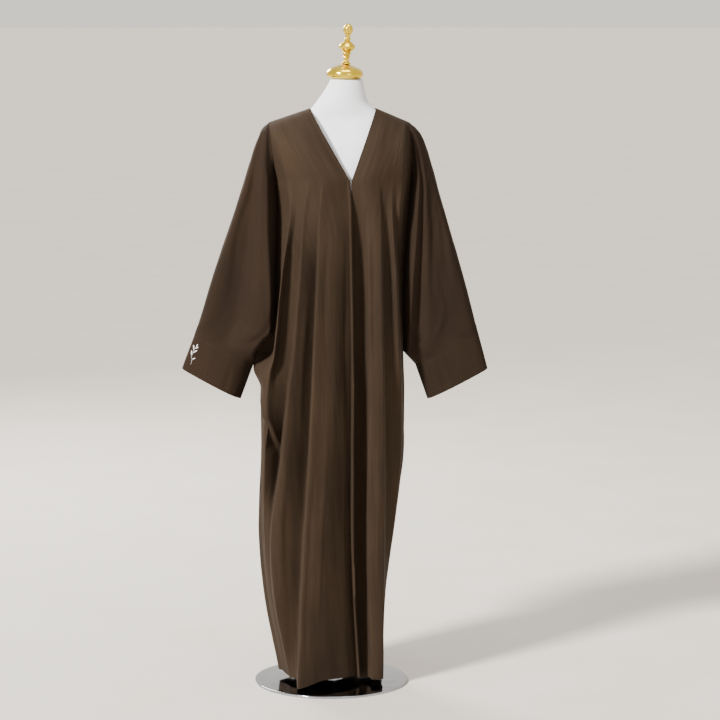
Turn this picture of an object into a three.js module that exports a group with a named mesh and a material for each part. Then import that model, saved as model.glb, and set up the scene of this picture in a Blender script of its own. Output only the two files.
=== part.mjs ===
// An open-front abaya hanging on a limbless dress form with a round steel foot.
// Millimetres, +Z up. The origin is the centre of the foot's underside, the garment's front
// faces -Y, and the wearer's right side is at -X.
import * as THREE from 'three';

// ---------------------------------------------------------------- driving dimensions

const WALL = 2;                 // cloth with its nap
const SEAM_GAP = 0.4;           // between two sewn pieces' points, which parts their walls by 0.3
const WALL_MITRE = 0.4;         // least share of the wall left standing square to a sharp fold

const NECK_POINT_Z = 1426;      // where the shoulder seam meets the neck
const SHOULDER_TIP_Z = 1392;    // outer end of the shoulder seam
const SHOULDER_ROUND = 22;      // how far the cloth swells over the end of the shoulder
const BACK_NECK = { x: 30, y: 60, z: 1420 };

// Heights of the levels that the fold tables below are given at.
const LEVELS = {
  vee: 1258, bust: 1180, waist: 1030, armpit: 880, under: 830,
  hip: 740, thigh: 570, knee: 390, shin: 210, hem: 12,
};
const YOKE_STEPS = [0, 0.14, 0.3, 0.47, 0.65, 0.83, 1];        // rows from shoulder seam to vee
const ARM_ROWS = [1212, 1150, 1040, 935, 870, LEVELS.under];    // rows from vee to underarm
const SKIRT_ROWS = [785, 740, 655, 570, 480, 390, 300, 210, 110, LEVELS.hem];
const NECKLINE_STEPS = 2;       // yoke steps that the back neckline takes
const HALF_COLUMNS = 26;        // cloth columns from an opening or centre line to a side seam
const SLEEVE_COLUMNS = 20;      // cloth columns round a sleeve, front seam to back seam

const BASE_RADIUS = 190;
const BASE_THICKNESS = 6;
const BASE_EDGE = 1.5;
const POLE_RADIUS = 14;
const SOCKET_RADIUS = 32;
const SOCKET_HEIGHT = 48;
const FORM_LEAN = THREE.MathUtils.degToRad(1.33);
const FORM_CLEARANCE = 0.3;     // between stacked pieces of the stand
const FORM_COLUMNS = 28;

// ---------------------------------------------------------------- fold tables

// One row for each fold line, from a centre line round to the side seam. column is the cloth
// column that the line lies in; each pair is its place sideways (x) and from front to back (y)
// at a level. The last line is the armhole, which ends at the underarm; SIDE_SEAMS go on from it.
const FRONT_RIGHT = [
  { line: 'opening edge', column: 0, vee: [48, -112], bust: [53, -116], waist: [56, -112],
    under: [59, -108], hip: [60, -106], thigh: [59, -101],
    knee: [59, -92], shin: [64, -80], hem: [75, -60] },
  { line: 'edge roll', column: 2, vee: [41, -113], bust: [45, -118], waist: [47, -116],
    under: [50, -113], hip: [50, -111], thigh: [50, -107],
    knee: [50, -99], shin: [54, -88], hem: [63, -71] },
  { line: 'centre channel', column: 7, vee: [22, -115], bust: [24, -114], waist: [22, -107],
    under: [21, -102], hip: [20, -100], thigh: [18, -96],
    knee: [16, -92], shin: [18, -88], hem: [24, -84] },
  { line: 'main ridge', column: 13, vee: [-6, -116.5], bust: [-19, -124], waist: [-28, -131],
    under: [-38, -138], hip: [-42, -140], thigh: [-51, -144],
    knee: [-61, -146], shin: [-72, -147], hem: [-81, -148] },
  { line: 'groove beside it', column: 16, vee: [-26, -114.5], bust: [-37, -114], waist: [-49, -112],
    under: [-62, -112], hip: [-68, -113], thigh: [-78, -114],
    knee: [-86, -112], shin: [-88, -104], hem: [-88, -84] },
  { line: 'second ridge', column: 19, vee: [-47, -109], bust: [-57, -115], waist: [-75, -120],
    under: [-92, -122], hip: [-101, -121], thigh: [-118, -113],
    knee: [-138, -94], shin: [-124, -80], hem: [-99, -38] },
  { line: 'second groove', column: 21, vee: [-63, -101.5], bust: [-73, -97], waist: [-94, -94],
    under: [-111, -92], hip: [-130, -86], thigh: [-128, -101],
    knee: [-147, -79], shin: [-137, -62], hem: [-107, -22] },
  { line: 'outer ridge', column: 23, vee: [-82, -90], bust: [-90, -94], waist: [-117, -93],
    under: [-137, -84], hip: [-174, -48], thigh: [-138, -85],
    knee: [-155, -60], shin: [-146, -45], hem: [-114, -9] },
  { line: 'armhole', column: 26, vee: [-131, -28], bust: [-128, -22], waist: [-136, -18],
    armpit: [-156, -12], under: [-163, 0] },
];
const FRONT_LEFT = [
  { line: 'opening edge', column: 0, vee: [52, -112], bust: [50, -106], waist: [50, -93],
    under: [53, -87], hip: [54, -82], thigh: [53, -74], knee: [53, -66], shin: [58, -57], hem: [71, -46] },
  { line: 'tucked valley', column: 3, vee: [62, -113.5], bust: [70, -103], waist: [74, -90],
    under: [76, -85], hip: [77, -78], thigh: [77, -70], knee: [77, -63], shin: [81, -57], hem: [91, -50] },
  { line: 'front ridge, inner side', column: 6, vee: [78, -114.5], bust: [87, -114], waist: [89, -115],
    under: [91, -115], hip: [92, -113], thigh: [92, -109],
    knee: [93, -102], shin: [94, -94], hem: [99, -81] },
  { line: 'front ridge', column: 10, vee: [98, -111], bust: [106, -118], waist: [107, -122],
    under: [109, -123], hip: [110, -121], thigh: [110, -117],
    knee: [111, -110], shin: [111, -101], hem: [114, -87] },
  { line: 'front ridge, outer side', column: 14, vee: [119, -102], bust: [125, -108], waist: [127, -111],
    under: [129, -111], hip: [130, -110], thigh: [131, -106],
    knee: [132, -99], shin: [131, -89], hem: [130, -73] },
  { line: 'outer groove', column: 17, vee: [135, -92], bust: [140, -91], waist: [142, -86],
    under: [146, -84], hip: [147, -82], thigh: [147, -78],
    knee: [141, -66], shin: [129, -54], hem: [127, -42] },
  { line: 'outer ridge', column: 21, vee: [157, -74], bust: [161, -82], waist: [167, -79],
    under: [172, -68], hip: [174, -58], thigh: [171, -46],
    knee: [151, -42], shin: [130, -28], hem: [126, -14] },
  { line: 'armhole', column: 26, vee: [196, -26], bust: [190, -20], waist: [180, -16],
    armpit: [178, -12], under: [178, 0] },
];
const BACK_RIGHT = [
  { line: 'centre back', column: 0, vee: [28, 91], bust: [30, 95], waist: [32, 99],
    under: [33, 104], thigh: [35, 100], knee: [36, 96], hem: [38, 90] },
  { line: 'first ridge', column: 5, vee: [2, 94], bust: [0, 107], waist: [-4, 118],
    under: [-8, 127], thigh: [-11, 131], knee: [-13, 129], hem: [-15, 122] },
  { line: 'first groove', column: 9, vee: [-23, 92], bust: [-27, 95], waist: [-31, 97],
    under: [-36, 101], thigh: [-39, 97], knee: [-40, 93], hem: [-38, 86] },
  { line: 'second ridge', column: 14, vee: [-53, 84], bust: [-55, 98], waist: [-61, 110],
    under: [-69, 119], thigh: [-79, 122], knee: [-84, 118], hem: [-74, 106] },
  { line: 'second groove', column: 17, vee: [-76, 73], bust: [-79, 76], waist: [-87, 78],
    under: [-99, 82], thigh: [-110, 77], knee: [-117, 71], hem: [-92, 66] },
  { line: 'third ridge', column: 20, vee: [-98, 58], bust: [-100, 66], waist: [-112, 71],
    under: [-132, 69], hip: [-148, 70], thigh: [-152, 70],
    knee: [-158, 60], shin: [-142, 58], hem: [-110, 57] },
  { line: 'flank', column: 23, vee: [-116, 44], bust: [-115, 44], waist: [-126, 43],
    under: [-151, 36], hip: [-183, 24], thigh: [-180, 18],
    knee: [-185, 12], shin: [-166, 16], hem: [-132, 27] },
  { line: 'armhole', column: 26, vee: [-131, 28], bust: [-128, 24], waist: [-136, 20],
    armpit: [-156, 12], under: [-163, 0] },
];
const BACK_LEFT = [
  { line: 'centre back', column: 0, vee: [28, 91], bust: [30, 95], waist: [32, 99],
    under: [33, 104], thigh: [35, 100], knee: [36, 96], hem: [38, 90] },
  { line: 'first ridge', column: 4, vee: [54, 93.5], bust: [55, 105], waist: [58, 114],
    under: [62, 124], thigh: [66, 128], knee: [66, 125], hem: [62, 118] },
  { line: 'first groove', column: 9, vee: [83, 90], bust: [86, 92], waist: [91, 93],
    under: [95, 97], thigh: [98, 94], knee: [94, 91], hem: [86, 88] },
  { line: 'second ridge', column: 13, vee: [106, 83], bust: [111, 95], waist: [118, 104],
    under: [124, 110], thigh: [128, 110], knee: [122, 104], hem: [108, 98] },
  { line: 'second groove', column: 17, vee: [131, 71], bust: [137, 70], waist: [142, 72],
    under: [146, 75], thigh: [146, 74], knee: [134, 71], hem: [116, 70] },
  { line: 'third ridge', column: 20, vee: [153, 58], bust: [157, 62], waist: [162, 62],
    under: [166, 56], thigh: [168, 54], knee: [152, 50], shin: [133, 52], hem: [122, 55] },
  { line: 'flank', column: 23, vee: [175, 42], bust: [174, 42], waist: [173, 39],
    under: [175, 28], hip: [180, 26], thigh: [178, 22], knee: [158, 16], shin: [135, 26], hem: [130, 39] },
  { line: 'armhole', column: 26, vee: [196, 26], bust: [190, 20], waist: [180, 18],
    armpit: [178, 12], under: [178, 0] },
];

const SIDE_SEAMS = {
  right: { line: 'side seam', column: 26, under: [-163, 0], hip: [-183, -6], thigh: [-162, -38],
    knee: [-170, -28], shin: [-156, -16], hem: [-123, 7] },
  left: { line: 'side seam', column: 26, under: [178, 0], hip: [181, 0], thigh: [175, -8],
    knee: [149, -18], shin: [129, 0], hem: [125, 16] },
};

// Sleeve stations from shoulder to cuff: the height of each at the inner and the outer fold.
const STATIONS = {
  cap: { inner: 1377, outer: 1370 }, upper: { inner: 1258, outer: 1272 }, arm: { inner: 1150, outer: 1182 },
  elbow: { inner: 1000, outer: 1052 }, low: { inner: 830, outer: 905 }, end: { inner: 798, outer: 877 },
  cuff: { inner: 712, outer: 788 },
};

// One row for each fold line round a sleeve, from the front armhole over the outer fold to the
// back armhole. Each pair is the share of the way across to the outer fold, and the place from
// front to back.
const SLEEVE_RIGHT = [
  { line: 'front wall', column: 2, cap: [0.1, -31], upper: [0.1, -50], arm: [0.08, -52],
    elbow: [0.05, -46], low: [0.03, -24], end: [0.03, -12], cuff: [0.03, -10] },
  { line: 'front crest', column: 4, cap: [0.36, -31], upper: [0.4, -62], arm: [0.3, -68],
    elbow: [0.17, -68], low: [0.1, -46], end: [0.13, -24], cuff: [0.13, -20] },
  { line: 'front middle', column: 7, cap: [0.7, -25], upper: [0.71, -52], arm: [0.64, -56],
    elbow: [0.55, -54], low: [0.52, -43], end: [0.5, -33], cuff: [0.5, -27] },
  { line: 'front rim', column: 9, cap: [0.94, -12], upper: [0.94, -22], arm: [0.93, -24],
    elbow: [0.93, -23], low: [0.92, -19], end: [0.91, -16], cuff: [0.92, -14] },
  { line: 'outer fold', column: 10, cap: [1, 0], upper: [1, 0], arm: [1, 0],
    elbow: [1, 0], low: [1, 0], end: [1, 0], cuff: [1, 0] },
  { line: 'back rim', column: 11, cap: [0.94, 12], upper: [0.94, 20], arm: [0.93, 22],
    elbow: [0.93, 21], low: [0.92, 18], end: [0.91, 15], cuff: [0.92, 13] },
  { line: 'back middle', column: 13, cap: [0.7, 25], upper: [0.7, 45], arm: [0.66, 50],
    elbow: [0.6, 48], low: [0.55, 38], end: [0.5, 29], cuff: [0.5, 25] },
  { line: 'back crest', column: 16, cap: [0.36, 31], upper: [0.4, 54], arm: [0.3, 60],
    elbow: [0.2, 58], low: [0.12, 40], end: [0.13, 22], cuff: [0.13, 19] },
  { line: 'back wall', column: 18, cap: [0.1, 31], upper: [0.1, 46], arm: [0.08, 47],
    elbow: [0.05, 42], low: [0.03, 22], end: [0.03, 11], cuff: [0.03, 10] },
];
const SLEEVE_LEFT = [
  { line: 'inner fold', column: 2, cap: [0.12, -31], upper: [0.16, -50], arm: [0.13, -56],
    elbow: [0.13, -60], low: [0.07, -40], end: [0.04, -13], cuff: [0.04, -11] },
  { line: 'inner groove', column: 3, cap: [0.25, -31], upper: [0.31, -52], arm: [0.25, -53],
    elbow: [0.24, -49], low: [0.2, -36], end: [0.1, -20], cuff: [0.1, -17] },
  { line: 'front crest', column: 5, cap: [0.45, -30], upper: [0.52, -60], arm: [0.4, -67],
    elbow: [0.34, -66], low: [0.34, -50], end: [0.25, -29], cuff: [0.25, -24] },
  { line: 'front middle', column: 7, cap: [0.7, -25], upper: [0.74, -50], arm: [0.68, -54],
    elbow: [0.62, -52], low: [0.6, -44], end: [0.52, -33], cuff: [0.52, -27] },
  { line: 'front rim', column: 9, cap: [0.94, -12], upper: [0.94, -22], arm: [0.93, -24],
    elbow: [0.93, -23], low: [0.92, -19], end: [0.91, -16], cuff: [0.92, -14] },
  { line: 'outer fold', column: 10, cap: [1, 0], upper: [1, 0], arm: [1, 0],
    elbow: [1, 0], low: [1, 0], end: [1, 0], cuff: [1, 0] },
  { line: 'back rim', column: 11, cap: [0.94, 12], upper: [0.94, 20], arm: [0.93, 22],
    elbow: [0.93, 21], low: [0.92, 18], end: [0.91, 15], cuff: [0.92, 13] },
  { line: 'back middle', column: 13, cap: [0.7, 25], upper: [0.7, 47], arm: [0.64, 52],
    elbow: [0.58, 50], low: [0.55, 40], end: [0.5, 29], cuff: [0.5, 25] },
  { line: 'back crest', column: 16, cap: [0.36, 31], upper: [0.36, 52], arm: [0.28, 60],
    elbow: [0.2, 60], low: [0.14, 42], end: [0.13, 22], cuff: [0.13, 19] },
  { line: 'back wall', column: 18, cap: [0.1, 31], upper: [0.1, 44], arm: [0.08, 47],
    elbow: [0.06, 43], low: [0.03, 22], end: [0.03, 11], cuff: [0.03, 10] },
];

// The outer fold of each sleeve seen from the front, from the shoulder tip to the cuff.
const RIGHT_ARM_LINE = [
  { z: 1392, x: -149 }, { z: 1378, x: -164 }, { z: 1363, x: -172 }, { z: 1334, x: -184 },
  { z: 1275, x: -203 }, { z: 1202, x: -226 }, { z: 1104, x: -259 }, { z: 1006, x: -292 },
  { z: 907, x: -322 }, { z: 877, x: -333 }, { z: 788, x: -366 },
];
const LEFT_ARM_LINE = [
  { z: 1392, x: 191 }, { z: 1378, x: 208 }, { z: 1363, x: 220 }, { z: 1334, x: 233 },
  { z: 1275, x: 251 }, { z: 1202, x: 271 }, { z: 1104, x: 300 }, { z: 1006, x: 328 },
  { z: 907, x: 354 }, { z: 877, x: 362 }, { z: 788, x: 386 },
];

const RIGHT_SIDE = {
  neck: -49, tip: -149, front: FRONT_RIGHT, back: BACK_RIGHT, seam: SIDE_SEAMS.right, sleeve: SLEEVE_RIGHT,
  armLine: RIGHT_ARM_LINE, endSeamInner: -199, cuffInner: -229,
};
const LEFT_SIDE = {
  neck: 111, tip: 191, front: FRONT_LEFT, back: BACK_LEFT, seam: SIDE_SEAMS.left, sleeve: SLEEVE_LEFT,
  armLine: LEFT_ARM_LINE, endSeamInner: 216, cuffInner: 245,
};

// The dress form's level sections: half its width, its depth to the front and back, how far it
// is set over sideways, and how square its corners are (2 is an ellipse).
const FORM_SECTIONS = [
  { z: 820, half: 140, front: 70, back: 78, over: 0, square: 2.3 },
  { z: 832, half: 147, front: 76, back: 84, over: 0, square: 2.3 },
  { z: 880, half: 150, front: 79, back: 90, over: 0, square: 2.3 },
  { z: 960, half: 133, front: 80, back: 82, over: 0, square: 2.2 },
  { z: 1060, half: 107, front: 76, back: 66, over: 0, square: 2.2 },
  { z: 1140, half: 119, front: 90, back: 70, over: 0, square: 2.2 },
  { z: 1205, half: 130, front: 102, back: 77, over: 0, square: 2.2 },
  { z: 1258, half: 136, front: 102, back: 80, over: 0, square: 2.2 },
  { z: 1310, half: 142, front: 91, back: 78, over: 0, square: 2.1 },
  { z: 1350, half: 148, front: 72, back: 68, over: 0, square: 2 },
  { z: 1376, half: 151, front: 54, back: 54, over: 0, square: 2 },
  { z: 1392, half: 148, front: 43, back: 43, over: 0, square: 2 },
  { z: 1408.2, half: 111, front: 38, back: 36, over: 0, square: 2 },
  { z: 1422.2, half: 76, front: 42, back: 36, over: -1, square: 2 },
  { z: 1446, half: 60, front: 43, back: 40, over: -8, square: 2 },
  { z: 1468, half: 49, front: 40, back: 39, over: -4, square: 2 },
  { z: 1492, half: 41, front: 38, back: 38, over: 0, square: 2 },
  { z: 1499, half: 38, front: 35, back: 35, over: 0, square: 2 },
];

// ---------------------------------------------------------------- finishes

const CLOTH = { color: 0x4f3a29, roughness: 0.92, metalness: 0 };
const FORM_SKIN = { color: 0xe9eaec, roughness: 0.7, metalness: 0 };
const BRASS = { color: 0xe0b23c, roughness: 0.22, metalness: 1 };
const STEEL = { color: 0xb9bcc0, roughness: 0.12, metalness: 1 };

// ---------------------------------------------------------------- curves through tables

// A smooth curve through knots [{ at, value: [..] }], with each slope taken from its neighbours.
function smoothThrough(knots, at) {
  const last = knots.length - 1;
  let k = 0;
  while (k < last - 1 && at > knots[k + 1].at) k += 1;
  const a = knots[k];
  const b = knots[k + 1];
  const span = b.at - a.at;
  const u = (at - a.at) / span;
  return a.value.map((start, n) => {
    const end = b.value[n];
    const before = knots[Math.max(k - 1, 0)];
    const after = knots[Math.min(k + 2, last)];
    const slopeIn = ((end - before.value[n]) / (b.at - before.at)) * span;
    const slopeOut = ((after.value[n] - start) / (after.at - a.at)) * span;
    const u2 = u * u;
    const u3 = u2 * u;
    return start * (2 * u3 - 3 * u2 + 1) + slopeIn * (u3 - 2 * u2 + u)
      + end * (3 * u2 - 2 * u3) + slopeOut * (u3 - u2);
  });
}

// A fold line's pair of values at a height, from the levels that its row gives.
function lineAt(row, heights, z) {
  const knots = Object.keys(heights)
    .filter((name) => row[name])
    .map((name) => ({ at: -heights[name], value: row[name] }));
  return smoothThrough(knots, -z);
}

// All columns of a level section through the fold lines.
function sectionAt(lines, heights, z) {
  const knots = lines.map((row) => ({ at: row.column, value: lineAt(row, heights, z) }));
  const last = knots[knots.length - 1].at;
  return Array.from({ length: last + 1 }, (_, column) => smoothThrough(knots, column));
}

function between(a, b, share) {
  return a + (b - a) * share;
}

// ---------------------------------------------------------------- body panels

// The yoke, from the shoulder seam over the chest or the shoulder blades to the vee level.
function yokeRow(lines, side, facing, step) {
  const turn = (step * Math.PI) / 2;
  const drop = 1 - Math.cos(turn);
  return sectionAt(lines, LEVELS, LEVELS.vee).map(([x, y], column) => {
    const share = column / HALF_COLUMNS;
    const seamZ = between(NECK_POINT_Z, SHOULDER_TIP_Z, share);
    const swell = facing * SHOULDER_ROUND * share ** 4 * Math.sin(step * Math.PI);
    return new THREE.Vector3(
      between(between(side.neck, side.tip, share), x, drop),
      y * Math.sin(turn) + swell,
      between(seamZ, LEVELS.vee, drop),
    );
  });
}

// The back neckline runs level round the neck to the centre back, then the column hangs down it.
function backNeckPoint(side, centre, rowIndex, step) {
  if (rowIndex <= NECKLINE_STEPS) {
    const turn = ((rowIndex / NECKLINE_STEPS) * Math.PI) / 2;
    return new THREE.Vector3(
      between(BACK_NECK.x, side.neck, Math.cos(turn)),
      BACK_NECK.y * Math.sin(turn),
      between(NECK_POINT_Z, BACK_NECK.z, Math.sin(turn)),
    );
  }
  const start = YOKE_STEPS[NECKLINE_STEPS];
  const share = (step - start) / (1 - start);
  return new THREE.Vector3(
    between(BACK_NECK.x, centre.x, share),
    between(BACK_NECK.y, centre.y, Math.sin((share * Math.PI) / 2)),
    between(BACK_NECK.z, centre.z, share),
  );
}

function hangingRows(lines, seam) {
  const skirtLines = [...lines.slice(0, -1), seam];
  return [...ARM_ROWS, ...SKIRT_ROWS].map((z) => {
    const section = sectionAt(z < LEVELS.under ? skirtLines : lines, LEVELS, z);
    return section.map(([x, y]) => new THREE.Vector3(x, y, z));
  });
}

function frontGrid(side) {
  const yoke = YOKE_STEPS.map((step) => yokeRow(side.front, side, -1, step));
  return [...yoke, ...hangingRows(side.front, side.seam)];
}

function backGrid(side) {
  const yoke = YOKE_STEPS.map((step) => yokeRow(side.back, side, 1, step));
  const centre = yoke[yoke.length - 1][0];
  YOKE_STEPS.forEach((step, rowIndex) => {
    const pull = backNeckPoint(side, centre, rowIndex, step).sub(yoke[rowIndex][0]);
    yoke[rowIndex].forEach((point, column) => {
      point.addScaledVector(pull, (1 - column / HALF_COLUMNS) ** 2);
    });
  });
  return [...yoke, ...hangingRows(side.back, side.seam)];
}

// ---------------------------------------------------------------- sleeves

function armLineX(armLine, z) {
  const knots = armLine.map((row) => ({ at: -row.z, value: [row.x] }));
  return smoothThrough(knots, -z)[0];
}

function outerHeight(innerZ) {
  const tip = { at: -SHOULDER_TIP_Z, value: [SHOULDER_TIP_Z] };
  const rest = Object.values(STATIONS).map(({ inner, outer }) => ({ at: -inner, value: [outer] }));
  return smoothThrough([tip, ...rest], -innerZ)[0];
}

// One ring of a sleeve, from its front inner point over the outer fold to its back inner point.
function sleeveRow(side, frontPoint, backPoint) {
  const innerZ = frontPoint.z;
  const outerZ = outerHeight(innerZ);
  const outerX = armLineX(side.armLine, outerZ);
  const heights = Object.fromEntries(Object.entries(STATIONS).map(([name, { inner }]) => [name, inner]));
  const capped = Math.min(innerZ, STATIONS.cap.inner);
  const narrowing = (SHOULDER_TIP_Z - innerZ) / (SHOULDER_TIP_Z - STATIONS.cap.inner);
  const depth = innerZ > STATIONS.cap.inner ? Math.sqrt(narrowing) : 1;
  const knots = side.sleeve.map((row) => {
    const [across, y] = lineAt(row, heights, capped);
    const from = row.column <= SLEEVE_COLUMNS / 2 ? frontPoint : backPoint;
    return {
      at: row.column,
      value: [between(from.x, outerX, across), y * depth, between(innerZ, outerZ, across)],
    };
  });
  knots.unshift({ at: 0, value: frontPoint.toArray() });
  knots.push({ at: SLEEVE_COLUMNS, value: backPoint.toArray() });
  return Array.from({ length: SLEEVE_COLUMNS + 1 }, (_, column) => (
    new THREE.Vector3(...smoothThrough(knots, column))
  ));
}

// The sleeve grows from the shoulder tip along the armhole and closes below the underarm.
function sleeveGrid(side, front, back) {
  const underarmRow = YOKE_STEPS.length + ARM_ROWS.length - 1;
  const tip = front[0][HALF_COLUMNS];
  const rows = [Array.from({ length: SLEEVE_COLUMNS + 1 }, () => tip.clone())];
  for (let j = 1; j <= underarmRow; j += 1) {
    rows.push(sleeveRow(side, front[j][HALF_COLUMNS], back[j][HALF_COLUMNS]));
  }
  const endSeam = new THREE.Vector3(side.endSeamInner, 0, STATIONS.end.inner);
  rows.push(sleeveRow(side, endSeam, endSeam));
  return rows;
}

// The sleeve end is the band below the last seam, open at the cuff.
function sleeveEndGrid(side, sleeve) {
  const bands = 2;
  const rows = [sleeve[sleeve.length - 1].map((point) => point.clone())];
  for (let band = 1; band <= bands; band += 1) {
    const inner = new THREE.Vector3(
      between(side.endSeamInner, side.cuffInner, band / bands),
      0,
      between(STATIONS.end.inner, STATIONS.cuff.inner, band / bands),
    );
    rows.push(sleeveRow(side, inner, inner));
  }
  return rows;
}

// ---------------------------------------------------------------- cloth walls

function keyOf(point) {
  return [point.x, point.y, point.z].map((value) => Math.round(value * 100)).join(' ');
}

// One panel's triangles, by the keys of their corners. A patch is a grid of rows; turned says
// that its columns run the other way round, so its faces have to be wound backwards.
function panelTriangles(patches) {
  const points = new Map();
  const triangles = [];
  const addFace = (corners, turned) => {
    const keys = corners.map(keyOf);
    if (new Set(keys).size < 3) return;
    corners.forEach((corner, n) => points.set(keys[n], corner));
    triangles.push(turned ? [keys[0], keys[2], keys[1]] : keys);
  };
  patches.forEach(({ grid, turned }) => {
    for (let j = 0; j + 1 < grid.length; j += 1) {
      for (let i = 0; i + 1 < grid[j].length; i += 1) {
        const [a, b, c, d] = [grid[j][i], grid[j + 1][i], grid[j + 1][i + 1], grid[j][i + 1]];
        addFace([a, b, c], turned);
        addFace([a, c, d], turned);
      }
    }
  });
  return { points, triangles };
}

function faceNormal(points, triangle) {
  const [a, b, c] = triangle.map((key) => points.get(key));
  return new THREE.Vector3().crossVectors(b.clone().sub(a), c.clone().sub(a)).normalize();
}

function cornerAngle(points, triangle, n) {
  const [corner, next, last] = [0, 1, 2].map((turn) => points.get(triangle[(n + turn) % 3]));
  return next.clone().sub(corner).angleTo(last.clone().sub(corner));
}

// Sewn pieces share their normals at a seam, so the sides of their walls stay parallel. A face
// counts by its angle at the point, which keeps the shared normal square to a sharp valley.
function sharedNormals(panels) {
  const normals = new Map();
  panels.forEach(({ points, triangles }) => {
    triangles.forEach((triangle) => {
      const normal = faceNormal(points, triangle);
      triangle.forEach((key, n) => {
        const entry = normals.get(key) ?? { sum: new THREE.Vector3(), weight: 0 };
        const angle = cornerAngle(points, triangle, n);
        entry.sum.addScaledVector(normal, angle);
        entry.weight += angle;
        normals.set(key, entry);
      });
    });
  });
  return normals;
}

// The edges that only one triangle has, each with that triangle's third corner.
function rimEdges(triangles) {
  const edges = new Map();
  triangles.forEach(([a, b, c]) => {
    [[a, b, c], [b, c, a], [c, a, b]].forEach(([from, to, corner]) => {
      if (!edges.delete(`${to}|${from}`)) edges.set(`${from}|${to}`, [from, to, corner]);
    });
  });
  return [...edges.values()];
}

// The way from each rim point into its panel, square to the rim.
function inwardWays({ points, triangles }) {
  const ways = new Map();
  rimEdges(triangles).forEach(([from, to, corner]) => {
    const start = points.get(from);
    const along = points.get(to).clone().sub(start).normalize();
    const across = points.get(corner).clone().sub(start);
    across.addScaledVector(along, -across.dot(along)).normalize();
    [from, to].forEach((key) => ways.set(key, (ways.get(key) ?? new THREE.Vector3()).add(across)));
  });
  return ways;
}

// A closed wall: the outer skin, an inner skin one wall further in, and a rim along each edge.
function wallGeometry(panel, normals, shifts) {
  const order = [...panel.points.keys()];
  const index = new Map(order.map((key, n) => [key, n]));
  const outer = [];
  const inner = [];
  order.forEach((key) => {
    const { sum, weight } = normals.get(key);
    const evenness = Math.max(WALL_MITRE, sum.length() / weight);
    const point = panel.points.get(key).clone().add(shifts.get(key) ?? new THREE.Vector3());
    const inside = point.clone().addScaledVector(sum.clone().normalize(), -WALL / evenness);
    outer.push(...point.toArray());
    inner.push(...inside.toArray());
  });
  const faces = [];
  const count = order.length;
  panel.triangles.forEach((keys) => {
    const [a, b, c] = keys.map((key) => index.get(key));
    faces.push(a, b, c, a + count, c + count, b + count);
  });
  // Both pieces at a seam cut their rims along the same diagonal.
  rimEdges(panel.triangles).forEach((keys) => {
    const [a, b] = keys.map((key) => index.get(key));
    if (keys[0] < keys[1]) faces.push(b, a, a + count, b, a + count, b + count);
    else faces.push(b, a, b + count, a, a + count, b + count);
  });
  const geometry = new THREE.BufferGeometry();
  geometry.setAttribute('position', new THREE.Float32BufferAttribute([...outer, ...inner], 3));
  geometry.setIndex(faces);
  geometry.computeVertexNormals();
  return geometry;
}

// Each seam point moves half a seam gap away from the panels that share it.
function seamShifts(ways, others) {
  const shifts = new Map();
  ways.forEach((way, key) => {
    const sharers = others.map((otherWays) => otherWays.get(key)).filter(Boolean);
    if (sharers.length === 0) return;
    const shift = way.clone().normalize();
    sharers.forEach((otherWay) => (
      shift.addScaledVector(otherWay.clone().normalize(), -1 / sharers.length)
    ));
    shifts.set(key, shift.setLength(SEAM_GAP / 2));
  });
  return shifts;
}

function clothMeshes(pieces) {
  const panels = pieces.map(({ patches }) => panelTriangles(patches));
  const normals = sharedNormals(panels);
  const ways = panels.map(inwardWays);
  return pieces.map(({ name }, n) => {
    const others = ways.filter((_, other) => other !== n);
    const geometry = wallGeometry(panels[n], normals, seamShifts(ways[n], others));
    return namedMesh(name, geometry, CLOTH);
  });
}

// ---------------------------------------------------------------- dress form

function namedMesh(name, geometry, finish) {
  const mesh = new THREE.Mesh(geometry, new THREE.MeshStandardMaterial(finish));
  mesh.name = name;
  return mesh;
}

function formPoint(section, angle) {
  const power = 2 / section.square;
  const sideways = Math.cos(angle);
  const deep = Math.sin(angle);
  const depth = deep < 0 ? section.front : section.back;
  return new THREE.Vector3(
    section.over + section.half * Math.sign(sideways) * Math.abs(sideways) ** power,
    depth * Math.sign(deep) * Math.abs(deep) ** power,
    section.z,
  );
}

// A closed loft through the level sections, with a flat underside and a flat top.
function torsoMesh() {
  const positions = [];
  const faces = [];
  FORM_SECTIONS.forEach((section) => {
    for (let i = 0; i < FORM_COLUMNS; i += 1) {
      positions.push(...formPoint(section, (2 * Math.PI * i) / FORM_COLUMNS).toArray());
    }
  });
  const top = FORM_SECTIONS.length - 1;
  for (let j = 0; j < top; j += 1) {
    for (let i = 0; i < FORM_COLUMNS; i += 1) {
      const next = (i + 1) % FORM_COLUMNS;
      const [a, b] = [j * FORM_COLUMNS + i, j * FORM_COLUMNS + next];
      faces.push(a, b, b + FORM_COLUMNS, a, b + FORM_COLUMNS, a + FORM_COLUMNS);
    }
  }
  [0, top].forEach((j) => {
    const centre = positions.length / 3;
    const { over, z } = FORM_SECTIONS[j];
    positions.push(over, 0, z);
    for (let i = 0; i < FORM_COLUMNS; i += 1) {
      const pair = [j * FORM_COLUMNS + i, j * FORM_COLUMNS + ((i + 1) % FORM_COLUMNS)];
      if (j === 0) pair.reverse();
      faces.push(centre, ...pair);
    }
  });
  const geometry = new THREE.BufferGeometry();
  geometry.setAttribute('position', new THREE.Float32BufferAttribute(positions, 3));
  geometry.setIndex(faces);
  geometry.computeVertexNormals();
  return namedMesh('form_torso', geometry, FORM_SKIN);
}

// A piece turned round the upright axis from a profile of { r, z } corners.
function turnedMesh(name, profile, sides, finish) {
  const geometry = new THREE.LatheGeometry(profile.map(({ r, z }) => new THREE.Vector2(r, z)), sides);
  geometry.rotateX(Math.PI / 2);
  return namedMesh(name, geometry, finish);
}

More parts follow.
